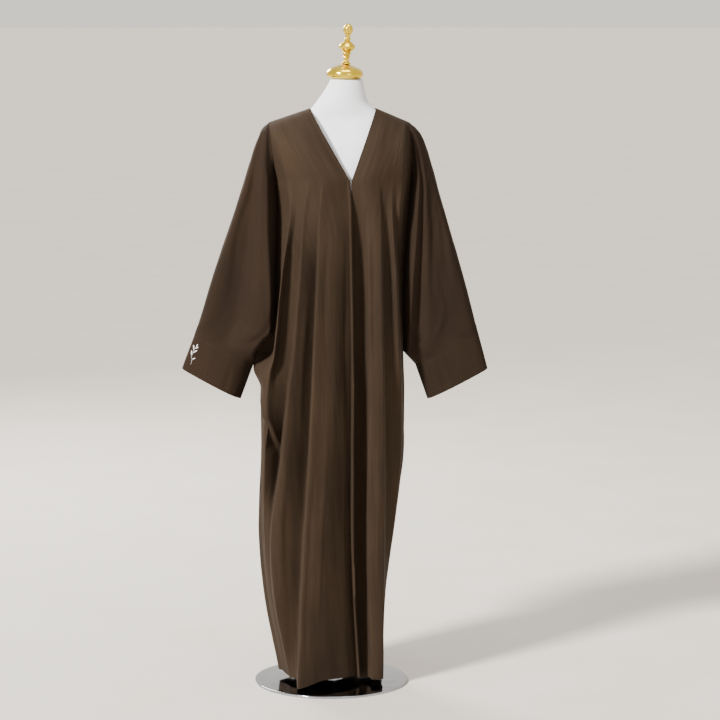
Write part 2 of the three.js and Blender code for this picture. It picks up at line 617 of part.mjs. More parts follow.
const CAP_PROFILE = [
  { r: 0, z: 0 }, { r: 37, z: 0 }, { r: 41, z: 3 }, { r: 43, z: 9 }, { r: 42, z: 15 },
  { r: 35, z: 23 }, { r: 22, z: 29 }, { r: 12, z: 33 }, { r: 0, z: 33 },
];
const FINIAL_PROFILE = [
  { r: 0, z: 0 }, { r: 10, z: 0 }, { r: 11, z: 3 }, { r: 6, z: 5 }, { r: 4.5, z: 9 }, { r: 4.5, z: 13 },
  { r: 8, z: 17 }, { r: 6.5, z: 20 }, { r: 10, z: 24 }, { r: 10, z: 27 }, { r: 13, z: 32 },
  { r: 19, z: 41 }, { r: 19, z: 44 }, { r: 8, z: 54 }, { r: 5, z: 57 }, { r: 7, z: 60 }, { r: 5, z: 63 },
  { r: 4.5, z: 68 }, { r: 6, z: 72 }, { r: 10.5, z: 79 }, { r: 11, z: 84 }, { r: 8.5, z: 91 },
  { r: 4, z: 95 }, { r: 0, z: 96 },
];

function capMesh() {
  const mesh = turnedMesh('neck_cap', CAP_PROFILE, 28, BRASS);
  mesh.position.z = FORM_SECTIONS[FORM_SECTIONS.length - 1].z + FORM_CLEARANCE;
  return mesh;
}

function finialMesh(cap) {
  const mesh = turnedMesh('finial', FINIAL_PROFILE, 16, BRASS);
  mesh.position.z = cap.position.z + CAP_PROFILE[CAP_PROFILE.length - 1].z + FORM_CLEARANCE;
  return mesh;
}

function poleMesh() {
  const foot = BASE_THICKNESS + 2 * FORM_CLEARANCE;
  const length = FORM_SECTIONS[0].z - FORM_CLEARANCE - foot;
  const geometry = new THREE.CylinderGeometry(POLE_RADIUS, POLE_RADIUS, length, 20);
  geometry.rotateX(Math.PI / 2);
  geometry.translate(0, 0, foot + length / 2);
  return namedMesh('pole', geometry, STEEL);
}

// The socket's bore is wide enough for the leaning pole.
function socketMesh() {
  const bore = POLE_RADIUS + FORM_CLEARANCE + SOCKET_HEIGHT * Math.tan(FORM_LEAN);
  const foot = BASE_THICKNESS + FORM_CLEARANCE;
  const profile = [
    { r: bore, z: foot }, { r: SOCKET_RADIUS, z: foot }, { r: SOCKET_RADIUS, z: foot + 6 },
    { r: bore + 5, z: foot + 12 }, { r: bore + 4, z: foot + SOCKET_HEIGHT - 2 },
    { r: bore + 2, z: foot + SOCKET_HEIGHT }, { r: bore, z: foot + SOCKET_HEIGHT }, { r: bore, z: foot },
  ];
  return turnedMesh('pole_socket', profile, 24, STEEL);
}

function basePlateMesh() {
  const profile = [
    { r: 0, z: 0 }, { r: BASE_RADIUS - BASE_EDGE, z: 0 }, { r: BASE_RADIUS, z: BASE_EDGE },
    { r: BASE_RADIUS, z: BASE_THICKNESS - BASE_EDGE }, { r: BASE_RADIUS - BASE_EDGE, z: BASE_THICKNESS },
    { r: 0, z: BASE_THICKNESS },
  ];
  return turnedMesh('base_plate', profile, 64, STEEL);
}

// ---------------------------------------------------------------- the whole

function garmentMeshes() {
  const frontRight = frontGrid(RIGHT_SIDE);
  const frontLeft = frontGrid(LEFT_SIDE);
  const backRight = backGrid(RIGHT_SIDE);
  const backLeft = backGrid(LEFT_SIDE);
  const sleeveRight = sleeveGrid(RIGHT_SIDE, frontRight, backRight);
  const sleeveLeft = sleeveGrid(LEFT_SIDE, frontLeft, backLeft);
  const endRight = sleeveEndGrid(RIGHT_SIDE, sleeveRight);
  const endLeft = sleeveEndGrid(LEFT_SIDE, sleeveLeft);
  return clothMeshes([
    { name: 'front_right', patches: [{ grid: frontRight, turned: true }] },
    { name: 'front_left', patches: [{ grid: frontLeft, turned: false }] },
    { name: 'back', patches: [{ grid: backRight, turned: false }, { grid: backLeft, turned: true }] },
    { name: 'sleeve_right', patches: [{ grid: sleeveRight, turned: true }] },
    { name: 'sleeve_left', patches: [{ grid: sleeveLeft, turned: false }] },
    { name: 'sleeve_end_right', patches: [{ grid: endRight, turned: true }] },
    { name: 'sleeve_end_left', patches: [{ grid: endLeft, turned: false }] },
  ]);
}

const abaya = new THREE.Group();
abaya.add(...garmentMeshes());

const leaningForm = new THREE.Group();
const cap = capMesh();
leaningForm.add(torsoMesh(), cap, finialMesh(cap), poleMesh());
leaningForm.rotation.y = FORM_LEAN;

const stand = new THREE.Group();
stand.add(leaningForm, socketMesh(), basePlateMesh());

const part = new THREE.Group();
part.add(abaya, stand);

export default part;
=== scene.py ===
"""An open-front abaya on a limbless dress form with a gilt finial and a round polished foot.

The frame is in metres, +Z up, with the garment's front towards -Y and the wearer's right at -X.
The cloth is worked out in millimetres from its fold lines and scaled when a mesh is made.
"""

import logging
import math
from collections.abc import Callable, Iterator
from contextlib import contextmanager
from dataclasses import dataclass
from enum import Enum
from typing import ClassVar

import bpy
import numpy as np
from mathutils import Matrix, Vector, noise


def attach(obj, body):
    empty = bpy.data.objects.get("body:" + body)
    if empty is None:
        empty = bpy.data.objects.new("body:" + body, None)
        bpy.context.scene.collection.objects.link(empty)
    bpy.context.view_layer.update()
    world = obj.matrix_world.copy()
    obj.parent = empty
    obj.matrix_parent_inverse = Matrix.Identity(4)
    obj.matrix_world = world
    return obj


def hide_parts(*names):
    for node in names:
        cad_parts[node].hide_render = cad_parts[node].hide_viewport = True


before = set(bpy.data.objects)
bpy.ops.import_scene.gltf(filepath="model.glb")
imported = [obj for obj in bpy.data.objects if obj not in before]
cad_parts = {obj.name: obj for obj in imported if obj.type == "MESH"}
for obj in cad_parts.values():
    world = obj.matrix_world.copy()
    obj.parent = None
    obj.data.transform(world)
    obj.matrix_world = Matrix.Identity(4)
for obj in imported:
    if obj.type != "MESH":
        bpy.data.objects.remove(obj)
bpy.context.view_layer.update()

LOG = logging.getLogger("abaya")

MM = 0.001

# ------------------------------------------------------------------ driving dimensions, mm

NECK_POINT_Z = 1426             # where the shoulder seam meets the neck
SHOULDER_TIP_Z = 1392
SHOULDER_ROUND = 22             # how far the cloth swells over the shoulder's tip
BACK_NECK = (30, 60, 1420)      # the back neckline's middle: x, depth behind the seam, height
BACK_NECK_SHARE = 9 / 31        # share of the yoke's rows that the back neckline takes
LEVELS = {"vee": 1258, "bust": 1180, "waist": 1030, "armpit": 880, "arch": 858, "under": 830,
          "notch": 785, "hip": 740, "thigh": 570, "knee": 390, "shin": 210, "hem": 12}
HALF_COLUMNS = 26               # cloth columns from an opening or centre line to a side seam
SLEEVE_COLUMNS = 20             # cloth columns once round a sleeve
CLOTH_THICKNESS = 1.8
HEM_DEPTH = 22                  # how far above the hem its stitches run, to the nearest row
FORM_LEAN = math.radians(1.33)  # how far the form and its pole lean towards the wearer's left

TINY = 1e-9                     # keeps lengths that are divided by above zero
MERGE_DISTANCE = 1e-5           # m, points nearer to each other than this are one
THREAD_SMOOTH_ANGLE = 80        # degrees


@dataclass(frozen=True)
class FoldLine:
    """A fold line of the cloth: its column, and its pair of values at each level it gives.

    ease says how softly the cloth turns over the line, from 0, a sharp corner, to 1, a round.
    """

    name: str
    column: float
    ease: float
    places: dict[str, tuple[float, float]]


def fold(name: str, column: float, ease: float = 1.0, **places: tuple[float, float]) -> FoldLine:
    """Writes one row of a fold table."""
    return FoldLine(name, column, ease, places)


# Body: place sideways (x) and from front to back (y) at each level, from a centre line round to
# the armhole. Below the underarm the side seam takes the armhole's place.
FRONT_RIGHT = (
    fold("opening edge", 0, vee=(48, -112), bust=(53, -116), waist=(56, -112), under=(59, -108),
         hip=(60, -106), thigh=(59, -101), knee=(59, -92), shin=(64, -80), hem=(75, -60)),
    fold("edge roll", 1, 0.6, vee=(44, -113.5), bust=(49, -119), waist=(52, -118), under=(55, -114),
         hip=(56, -112), thigh=(55, -108), knee=(55, -100), shin=(60, -89), hem=(71, -71)),
    fold("foot of the edge", 2.6, 0.3, vee=(40, -114), bust=(45, -109), waist=(48, -99),
         under=(51, -92), hip=(51, -88), thigh=(50, -83), knee=(50, -75), shin=(55, -67),
         hem=(65, -58)),
    fold("centre channel", 5, 0.7, vee=(24, -120), bust=(29, -112), waist=(34, -108),
         under=(34, -104), hip=(34, -102), thigh=(32, -99), knee=(30, -95), shin=(33, -90),
         hem=(42, -84)),
    fold("channel brow", 7.6, 0.6, vee=(8, -123), bust=(12, -116), waist=(14, -121),
         under=(12, -122), hip=(10, -123), thigh=(1, -126), knee=(-8, -128), shin=(-18, -129),
         hem=(-21, -124)),
    fold("main face", 10, vee=(-5, -124.5), bust=(-8, -119.5), waist=(-12, -130), under=(-18, -134),
         hip=(-21, -136), thigh=(-29, -140), knee=(-38, -143), shin=(-49, -144), hem=(-55, -142)),
    fold("main ridge", 12.4, 0.35, vee=(-15, -124.5), bust=(-24, -123), waist=(-30, -134),
         under=(-39, -140), hip=(-43, -142), thigh=(-52, -146), knee=(-64, -148), shin=(-73, -149),
         hem=(-81, -150)),
    fold("foot of the main ridge", 14.2, 0.3, vee=(-20, -123.5), bust=(-28, -114.5),
         waist=(-34, -103),
         under=(-43, -97), hip=(-47, -95), thigh=(-56, -90), knee=(-68, -84), shin=(-77, -76),
         hem=(-86, -70)),
    fold("second brow", 16.4, 0.7, vee=(-36, -120.5), bust=(-51, -109.5), waist=(-62, -117),
         under=(-75, -119), hip=(-86, -121), thigh=(-103, -121), knee=(-119, -104),
         shin=(-108, -83),
         hem=(-97, -58)),
    fold("second ridge", 18.2, 0.35, vee=(-49, -117.5), bust=(-62, -110), waist=(-73, -121),
         under=(-90, -125), hip=(-102, -125), thigh=(-121, -122), knee=(-145, -101),
         shin=(-136, -86), hem=(-101, -54)),
    fold("foot of the second ridge", 19.9, 0.3, vee=(-56, -114.5), bust=(-67, -101),
         waist=(-77, -84),
         under=(-94, -72), hip=(-106, -64), thigh=(-125, -54), knee=(-149, -72), shin=(-142, -60),
         hem=(-105, -40)),
    fold("side face", 21.4, 0.7, vee=(-86, -101), bust=(-82, -90), waist=(-103, -80),
         under=(-126, -72), hip=(-136, -72), thigh=(-142, -68), knee=(-156, -66), shin=(-147, -50),
         hem=(-109, -30)),
    fold("outer ridge", 22.8, 0.4, vee=(-103, -88), bust=(-97, -90), waist=(-116, -99),
         under=(-137, -94), notch=(-148, -86), hip=(-154, -82), thigh=(-161, -80), knee=(-164, -58),
         shin=(-150, -40), hem=(-113, -20)),
    fold("foot of the outer ridge", 24.4, 0.4, vee=(-108, -66), bust=(-102, -54), waist=(-119, -46),
         armpit=(-136, -14), arch=(-139, -6), under=(-144, -6), notch=(-166, -52),
         hip=(-165, -52), thigh=(-169, -58), knee=(-168, -42), shin=(-153, -30), hem=(-116, -11)),
    fold("armhole", 26, vee=(-131, -28), bust=(-128, -22), waist=(-134, -18), armpit=(-143, -14),
         arch=(-164, -8), under=(-185, 0)),
)
FRONT_LEFT = (
    fold("opening edge", 0, vee=(52, -112), bust=(50, -106), waist=(50, -93), under=(53, -87),
         hip=(54, -82), thigh=(53, -74), knee=(53, -66), shin=(58, -57), hem=(71, -46)),
    fold("tucked valley", 3, vee=(62, -116), bust=(70, -104), waist=(77, -86), under=(78, -80),
         hip=(79, -74), thigh=(79, -66), knee=(79, -59), shin=(82, -54), hem=(90, -48)),
    fold("foot of the front ridge", 5, 0.4, vee=(71, -118), bust=(81, -108), waist=(88, -92),
         under=(89, -86), hip=(90, -82), thigh=(90, -74), knee=(88, -68), shin=(90, -62),
         hem=(97, -55)),
    fold("front ridge, inner edge", 7, 0.4, vee=(80, -121), bust=(85, -115.5), waist=(92, -121),
         under=(93, -121.5), hip=(94, -119.5), thigh=(94, -116), knee=(92, -109), shin=(94, -101),
         hem=(101, -88)),
    fold("front ridge", 9.4, vee=(96, -120), bust=(103, -117.5), waist=(105, -123),
         under=(107, -124),
         hip=(108, -122), thigh=(109, -118), knee=(109, -111), shin=(111, -102), hem=(114, -88)),
    fold("front ridge, outer edge", 12, 0.35, vee=(117, -113), bust=(122, -112), waist=(124, -119),
         under=(127, -120), hip=(129, -118), thigh=(131, -113), knee=(131, -105), shin=(130, -96),
         hem=(129, -80)),
    fold("its foot", 13.8, 0.4, vee=(123, -111), bust=(127, -103), waist=(129, -99),
         under=(132, -96), hip=(134, -92), thigh=(136, -84), knee=(135, -74), shin=(131, -66),
         hem=(130, -54)),
    fold("rise to the outer ridge", 16.4, vee=(136, -107), bust=(138, -98), waist=(143, -92),
         under=(149, -88), hip=(152, -82), thigh=(154, -70), knee=(143, -60), shin=(131, -50),
         hem=(129, -36)),
    fold("outer ridge", 19, 0.4, vee=(150, -101), bust=(150, -99), waist=(160, -96),
         under=(168, -86),
         hip=(172, -72), thigh=(171, -52), knee=(153, -44), shin=(131, -34), hem=(128, -22)),
    fold("foot of the outer ridge", 20.8, 0.4, vee=(161, -96), bust=(159, -88), waist=(164, -58),
         under=(172, -54), hip=(176, -46), thigh=(175, -34), knee=(153, -34), shin=(130, -22),
         hem=(127, -10)),
    fold("small outer fold", 22.8, 0.5, vee=(177, -87), bust=(170, -86), waist=(169, -40),
         under=(176, -34), hip=(180, -26), thigh=(175, -24), knee=(154, -27), shin=(129.5, -13),
         hem=(126, 0)),
    fold("foot of the small outer fold", 24.2, 0.5, vee=(185, -58), bust=(178, -48),
         waist=(174, -26),
         under=(178, -20), hip=(181, -14), thigh=(176, -16), knee=(153.5, -22), shin=(129, -7),
         hem=(125.5, 7)),
    fold("armhole", 26, vee=(196, -26), bust=(190, -20), waist=(180, -16), armpit=(178, -12),
         under=(178, 0)),
)
BACK_RIGHT = (
    fold("centre back", 0, vee=(28, 91), bust=(30, 94), waist=(32, 96), under=(33, 100),
         thigh=(35, 97), knee=(36, 93), hem=(38, 87)),
    fold("foot of the first ridge", 3.4, 0.5, vee=(12, 92.5), bust=(11, 94), waist=(9, 96),
         under=(7, 100), thigh=(5, 98), knee=(4, 95), hem=(4, 90)),
    fold("first ridge", 5, 0.4, vee=(4, 94), bust=(3, 107), waist=(0, 118), under=(-3, 127),
         thigh=(-6, 131), knee=(-8, 129), hem=(-10, 122)),
    fold("first face", 8, vee=(-14, 94), bust=(-17, 103), waist=(-21, 111), under=(-25, 118),
         thigh=(-29, 119), knee=(-31, 116), hem=(-30, 108)),
    fold("foot of the second ridge", 11.4, 0.5, vee=(-38, 88), bust=(-41, 90), waist=(-46, 92),
         under=(-53, 95), thigh=(-61, 92), knee=(-65, 88), hem=(-60, 82)),
    fold("second ridge", 13.2, 0.4, vee=(-46, 87), bust=(-49, 100), waist=(-55, 111),
         under=(-63, 120), thigh=(-73, 123), knee=(-78, 119), hem=(-70, 108)),
    fold("second face", 15.6, vee=(-66, 79), bust=(-68, 89), waist=(-76, 98), under=(-87, 105),
         thigh=(-98, 106), knee=(-104, 101), hem=(-84, 92)),
    fold("foot of the third ridge", 18, 0.5, vee=(-86, 66), bust=(-88, 68), waist=(-99, 69),
         under=(-117, 72), hip=(-128, 72), thigh=(-134, 70), knee=(-140, 64), shin=(-124, 62),
         hem=(-100, 60)),
    fold("third ridge", 19.8, 0.4, vee=(-95, 61), bust=(-96, 70), waist=(-107, 77),
         under=(-126, 80),
         hip=(-140, 82), thigh=(-146, 80), knee=(-151, 70), shin=(-135, 66), hem=(-106, 62)),
    fold("flank", 23, vee=(-116, 44), bust=(-115, 44), waist=(-126, 43), under=(-156, 40),
         hip=(-170, 30), thigh=(-173, 18), knee=(-180, 12), shin=(-166, 16), hem=(-132, 27)),
    fold("armhole", 26, vee=(-131, 28), bust=(-128, 24), waist=(-136, 20), armpit=(-154, 12),
         arch=(-168, 9), under=(-185, 0)),
)
BACK_LEFT = (
    fold("centre back", 0, vee=(28, 91), bust=(30, 94), waist=(32, 96), under=(33, 100),
         thigh=(35, 97), knee=(36, 93), hem=(38, 87)),
    fold("first ridge", 4.4, 0.4, vee=(54, 93.5), bust=(55, 105), waist=(58, 114), under=(62, 124),
         thigh=(66, 128), knee=(66, 125), hem=(62, 118)),
    fold("foot of the first ridge", 6.2, 0.5, vee=(62, 93), bust=(62, 94), waist=(65, 94),
         under=(69, 98), thigh=(73, 96), knee=(72, 94), hem=(68, 90)),
    fold("first face", 9, vee=(82, 91), bust=(84, 93), waist=(88, 97), under=(92, 101),
         thigh=(96, 101),
         knee=(93, 98), hem=(85, 94)),
    fold("second ridge", 12.4, 0.4, vee=(106, 84), bust=(110, 96), waist=(117, 106),
         under=(123, 112),
         thigh=(127, 112), knee=(121, 106), hem=(108, 99)),
    fold("foot of the second ridge", 14.2, 0.5, vee=(114, 79), bust=(118, 80), waist=(125, 82),
         under=(130, 84), thigh=(134, 83), knee=(126, 80), hem=(112, 78)),
    fold("second face", 17, vee=(133, 70), bust=(138, 72), waist=(145, 74), under=(150, 74),
         thigh=(152, 72), knee=(138, 69), hem=(118, 68)),
    fold("third ridge", 20, 0.5, vee=(153, 58), bust=(158, 64), waist=(163, 64), under=(167, 58),
         thigh=(169, 56), knee=(153, 52), shin=(134, 53), hem=(122, 55)),
    fold("flank", 23, vee=(175, 42), bust=(174, 42), waist=(173, 39), under=(175, 28),
         hip=(180, 26),
         thigh=(178, 22), knee=(158, 16), shin=(135, 26), hem=(130, 39)),
    fold("armhole", 26, vee=(196, 26), bust=(190, 20), waist=(180, 18), armpit=(178, 12),
         under=(178, 0)),
)

# Sleeve: share of the way across to the outer fold, and the place from front to back, at each
# station, from the front armhole over the outer fold to the back armhole.
SLEEVE_RIGHT = (
    fold("front wall", 1.8, cap=(0.1, -30), upper=(0.17, -50), arm=(0.09, -54), elbow=(0.02, -52),
         low=(0.01, -38), end=(0.03, -12), cuff=(0.03, -10)),
    fold("front crest", 3.2, 0.8, cap=(0.34, -31), upper=(0.33, -60), arm=(0.24, -67),
         elbow=(0.1, -69),
         low=(0.06, -48), end=(0.13, -30), cuff=(0.13, -26)),
    fold("crest, outer side", 5, cap=(0.55, -27), upper=(0.52, -58), arm=(0.44, -62),
         elbow=(0.32, -61), low=(0.26, -46), end=(0.27, -37), cuff=(0.27, -32)),
    fold("front middle", 7, cap=(0.74, -21), upper=(0.7, -34), arm=(0.62, -32), elbow=(0.54, -30),
         low=(0.5, -30), end=(0.52, -37), cuff=(0.52, -33)),
    fold("front rim", 9, cap=(0.94, -12), upper=(0.93, -27), arm=(0.93, -30), elbow=(0.93, -31),
         low=(0.93, -28), end=(0.92, -22), cuff=(0.93, -20)),
    fold("outer fold", 10, cap=(1, 0), upper=(1, 0), arm=(1, 0), elbow=(1, 0), low=(1, 0),
         end=(1, 0),
         cuff=(1, 0)),
    fold("back rim", 11, cap=(0.94, 12), upper=(0.94, 20), arm=(0.93, 22), elbow=(0.93, 21),
         low=(0.92, 18), end=(0.91, 18), cuff=(0.92, 17)),
    fold("back middle", 13, cap=(0.7, 25), upper=(0.7, 45), arm=(0.66, 50), elbow=(0.6, 48),
         low=(0.55, 38), end=(0.5, 36), cuff=(0.5, 32)),
    fold("back crest", 16, cap=(0.36, 31), upper=(0.4, 54), arm=(0.3, 60), elbow=(0.2, 58),
         low=(0.12, 40), end=(0.13, 28), cuff=(0.13, 25)),
    fold("back wall", 18, cap=(0.1, 31), upper=(0.1, 46), arm=(0.08, 47), elbow=(0.05, 42),
         low=(0.03, 22), end=(0.03, 11), cuff=(0.03, 10)),
)
SLEEVE_LEFT = (
    fold("inner wall", 1, cap=(0.1, -30), upper=(0.15, -44), arm=(0.11, -50), elbow=(0.05, -48),
         low=(0.02, -26), end=(0.02, -8), cuff=(0.02, -7)),
    fold("inner fold", 2.3, 0.6, cap=(0.25, -31), upper=(0.33, -58), arm=(0.26, -64),
         elbow=(0.16, -66),
         low=(0.07, -44), end=(0.05, -20), cuff=(0.05, -17)),
    fold("inner groove", 3.5, 0.5, cap=(0.38, -30), upper=(0.47, -46), arm=(0.4, -47),
         elbow=(0.28, -43), low=(0.17, -30), end=(0.11, -26), cuff=(0.11, -23)),
    fold("front crest", 5, cap=(0.52, -29), upper=(0.6, -51), arm=(0.52, -53), elbow=(0.42, -52),
         low=(0.32, -44), end=(0.25, -36), cuff=(0.25, -31)),
    fold("front middle", 7, cap=(0.74, -23), upper=(0.77, -42), arm=(0.71, -42), elbow=(0.64, -41),
         low=(0.6, -36), end=(0.52, -37), cuff=(0.52, -33)),
    fold("front rim", 9, cap=(0.94, -12), upper=(0.94, -26), arm=(0.94, -30), elbow=(0.94, -30),
         low=(0.93, -25), end=(0.92, -22), cuff=(0.93, -20)),
    fold("outer fold", 10, cap=(1, 0), upper=(1, 0), arm=(1, 0), elbow=(1, 0), low=(1, 0),
         end=(1, 0),
         cuff=(1, 0)),
    fold("back rim", 11, cap=(0.94, 12), upper=(0.94, 20), arm=(0.93, 22), elbow=(0.93, 21),
         low=(0.92, 18), end=(0.91, 18), cuff=(0.92, 17)),
    fold("back middle", 13, cap=(0.7, 25), upper=(0.7, 47), arm=(0.64, 52), elbow=(0.58, 50),
         low=(0.55, 40), end=(0.5, 36), cuff=(0.5, 32)),
    fold("back crest", 16, cap=(0.36, 31), upper=(0.36, 52), arm=(0.28, 60), elbow=(0.2, 60),
         low=(0.14, 42), end=(0.13, 28), cuff=(0.13, 25)),
    fold("back wall", 18, cap=(0.1, 31), upper=(0.1, 44), arm=(0.08, 47), elbow=(0.06, 43),
         low=(0.03, 22), end=(0.03, 11), cuff=(0.03, 10)),
)
# How far the hem hangs above its lowest level: (column, mm) from the centre line to the side seam.
HEM_LIFTS = {
    ("right", -1): ((0, 13), (2.4, 12), (5, 16), (7.6, 17), (10, 8), (12.2, 3), (14.2, 8),
                    (18.2, 8), (22.6, 9), (26, 10)),
    ("left", -1): ((0, 6), (3, 7), (5, 8), (7, 11), (9.4, 12), (12, 11), (16, 10), (26, 12)),
    ("right", 1): ((0, 10), (5, 6), (9, 12), (14, 7), (17, 13), (20, 9), (26, 12)),
    ("left", 1): ((0, 10), (4, 7), (9, 13), (13, 8), (17, 12), (20, 10), (26, 12)),
}
HEM_LIFT_TOP = 390              # mm, the height below which the cloth follows its hem up
HEM_LIFT_POWER = 1.5            # how slowly it starts to follow

SEAM_RIGHT = fold("side seam", 26, under=(-185, 0), notch=(-190, -3), hip=(-172, -6),
                  thigh=(-162, -38), knee=(-170, -28), shin=(-156, -16), hem=(-120, 0))
SEAM_LEFT = fold("side seam", 26, under=(178, 0), hip=(181, 0), thigh=(175, -8),
                 knee=(153, -18), shin=(131, 0), hem=(125, 16))

# Sleeve stations from shoulder to cuff: the height of each at the inner and at the outer fold.
STATIONS = {"cap": (1377, 1370), "upper": (1258, 1272), "arm": (1150, 1182), "elbow": (1000, 1052),
            "low": (830, 905), "end": (798, 877), "cuff": (712, 788)}
STATION_INNER = {name: inner for name, (inner, _) in STATIONS.items()}

# The outer fold of each sleeve seen from the front: (z, x) from the shoulder tip to the cuff.
ARM_LINE_RIGHT = ((1392, -149), (1378, -164), (1363, -172), (1334, -184), (1275, -203),
                  (1202, -226), (1104, -259), (1006, -292), (907, -322), (877, -333), (788, -366))
ARM_LINE_LEFT = ((1392, 191), (1378, 208), (1363, 220), (1334, 233), (1275, 251), (1202, 271),
                 (1104, 300), (1006, 328), (907, 354), (877, 362), (788, 386))


@dataclass(frozen=True)
class Side:
    """One half of the garment, with the places in mm that its panels start from."""

    name: str
    neck_x: float
    tip_x: float
    front: tuple[FoldLine, ...]
    back: tuple[FoldLine, ...]
    seam: FoldLine
    sleeve: tuple[FoldLine, ...]
    arm_line: tuple[tuple[float, float], ...]
    end_seam_x: float
    cuff_x: float
    mirrored: bool


RIGHT = Side("right", -49, -149, FRONT_RIGHT, BACK_RIGHT, SEAM_RIGHT, SLEEVE_RIGHT, ARM_LINE_RIGHT,
             -190, -222, True)
LEFT = Side("left", 111, 191, FRONT_LEFT, BACK_LEFT, SEAM_LEFT, SLEEVE_LEFT, ARM_LINE_LEFT,
            208, 238, False)

# ------------------------------------------------------------------ creases and wrinkles


class CreaseKind(Enum):
    """What a crease looks like across its path."""

    SOFT = "a soft trough or ridge"
    STEP = "cloth folded over itself, that stands out on the centre's side of the path"


@dataclass(frozen=True)
class Crease:
    """A crease in a panel.

    path holds (column, height in mm) points, width is its half width and depth how far it
    stands out, both in mm. A depth below zero is a trough.
    """

    path: tuple[tuple[float, float], ...]
    width: float
    depth: float
    kind: CreaseKind = CreaseKind.SOFT


def trough(width: float, depth: float, *path: tuple[float, float]) -> Crease:
    """A crease that sinks into the cloth."""
    return Crease(path, width, -depth)


def ridge(width: float, depth: float, *path: tuple[float, float]) -> Crease:
    """A crease that stands out of the cloth."""
    return Crease(path, width, depth)


def overlap(width: float, depth: float, *path: tuple[float, float]) -> Crease:
    """A fold that lies over the cloth beside it."""
    return Crease(path, width, depth, CreaseKind.STEP)


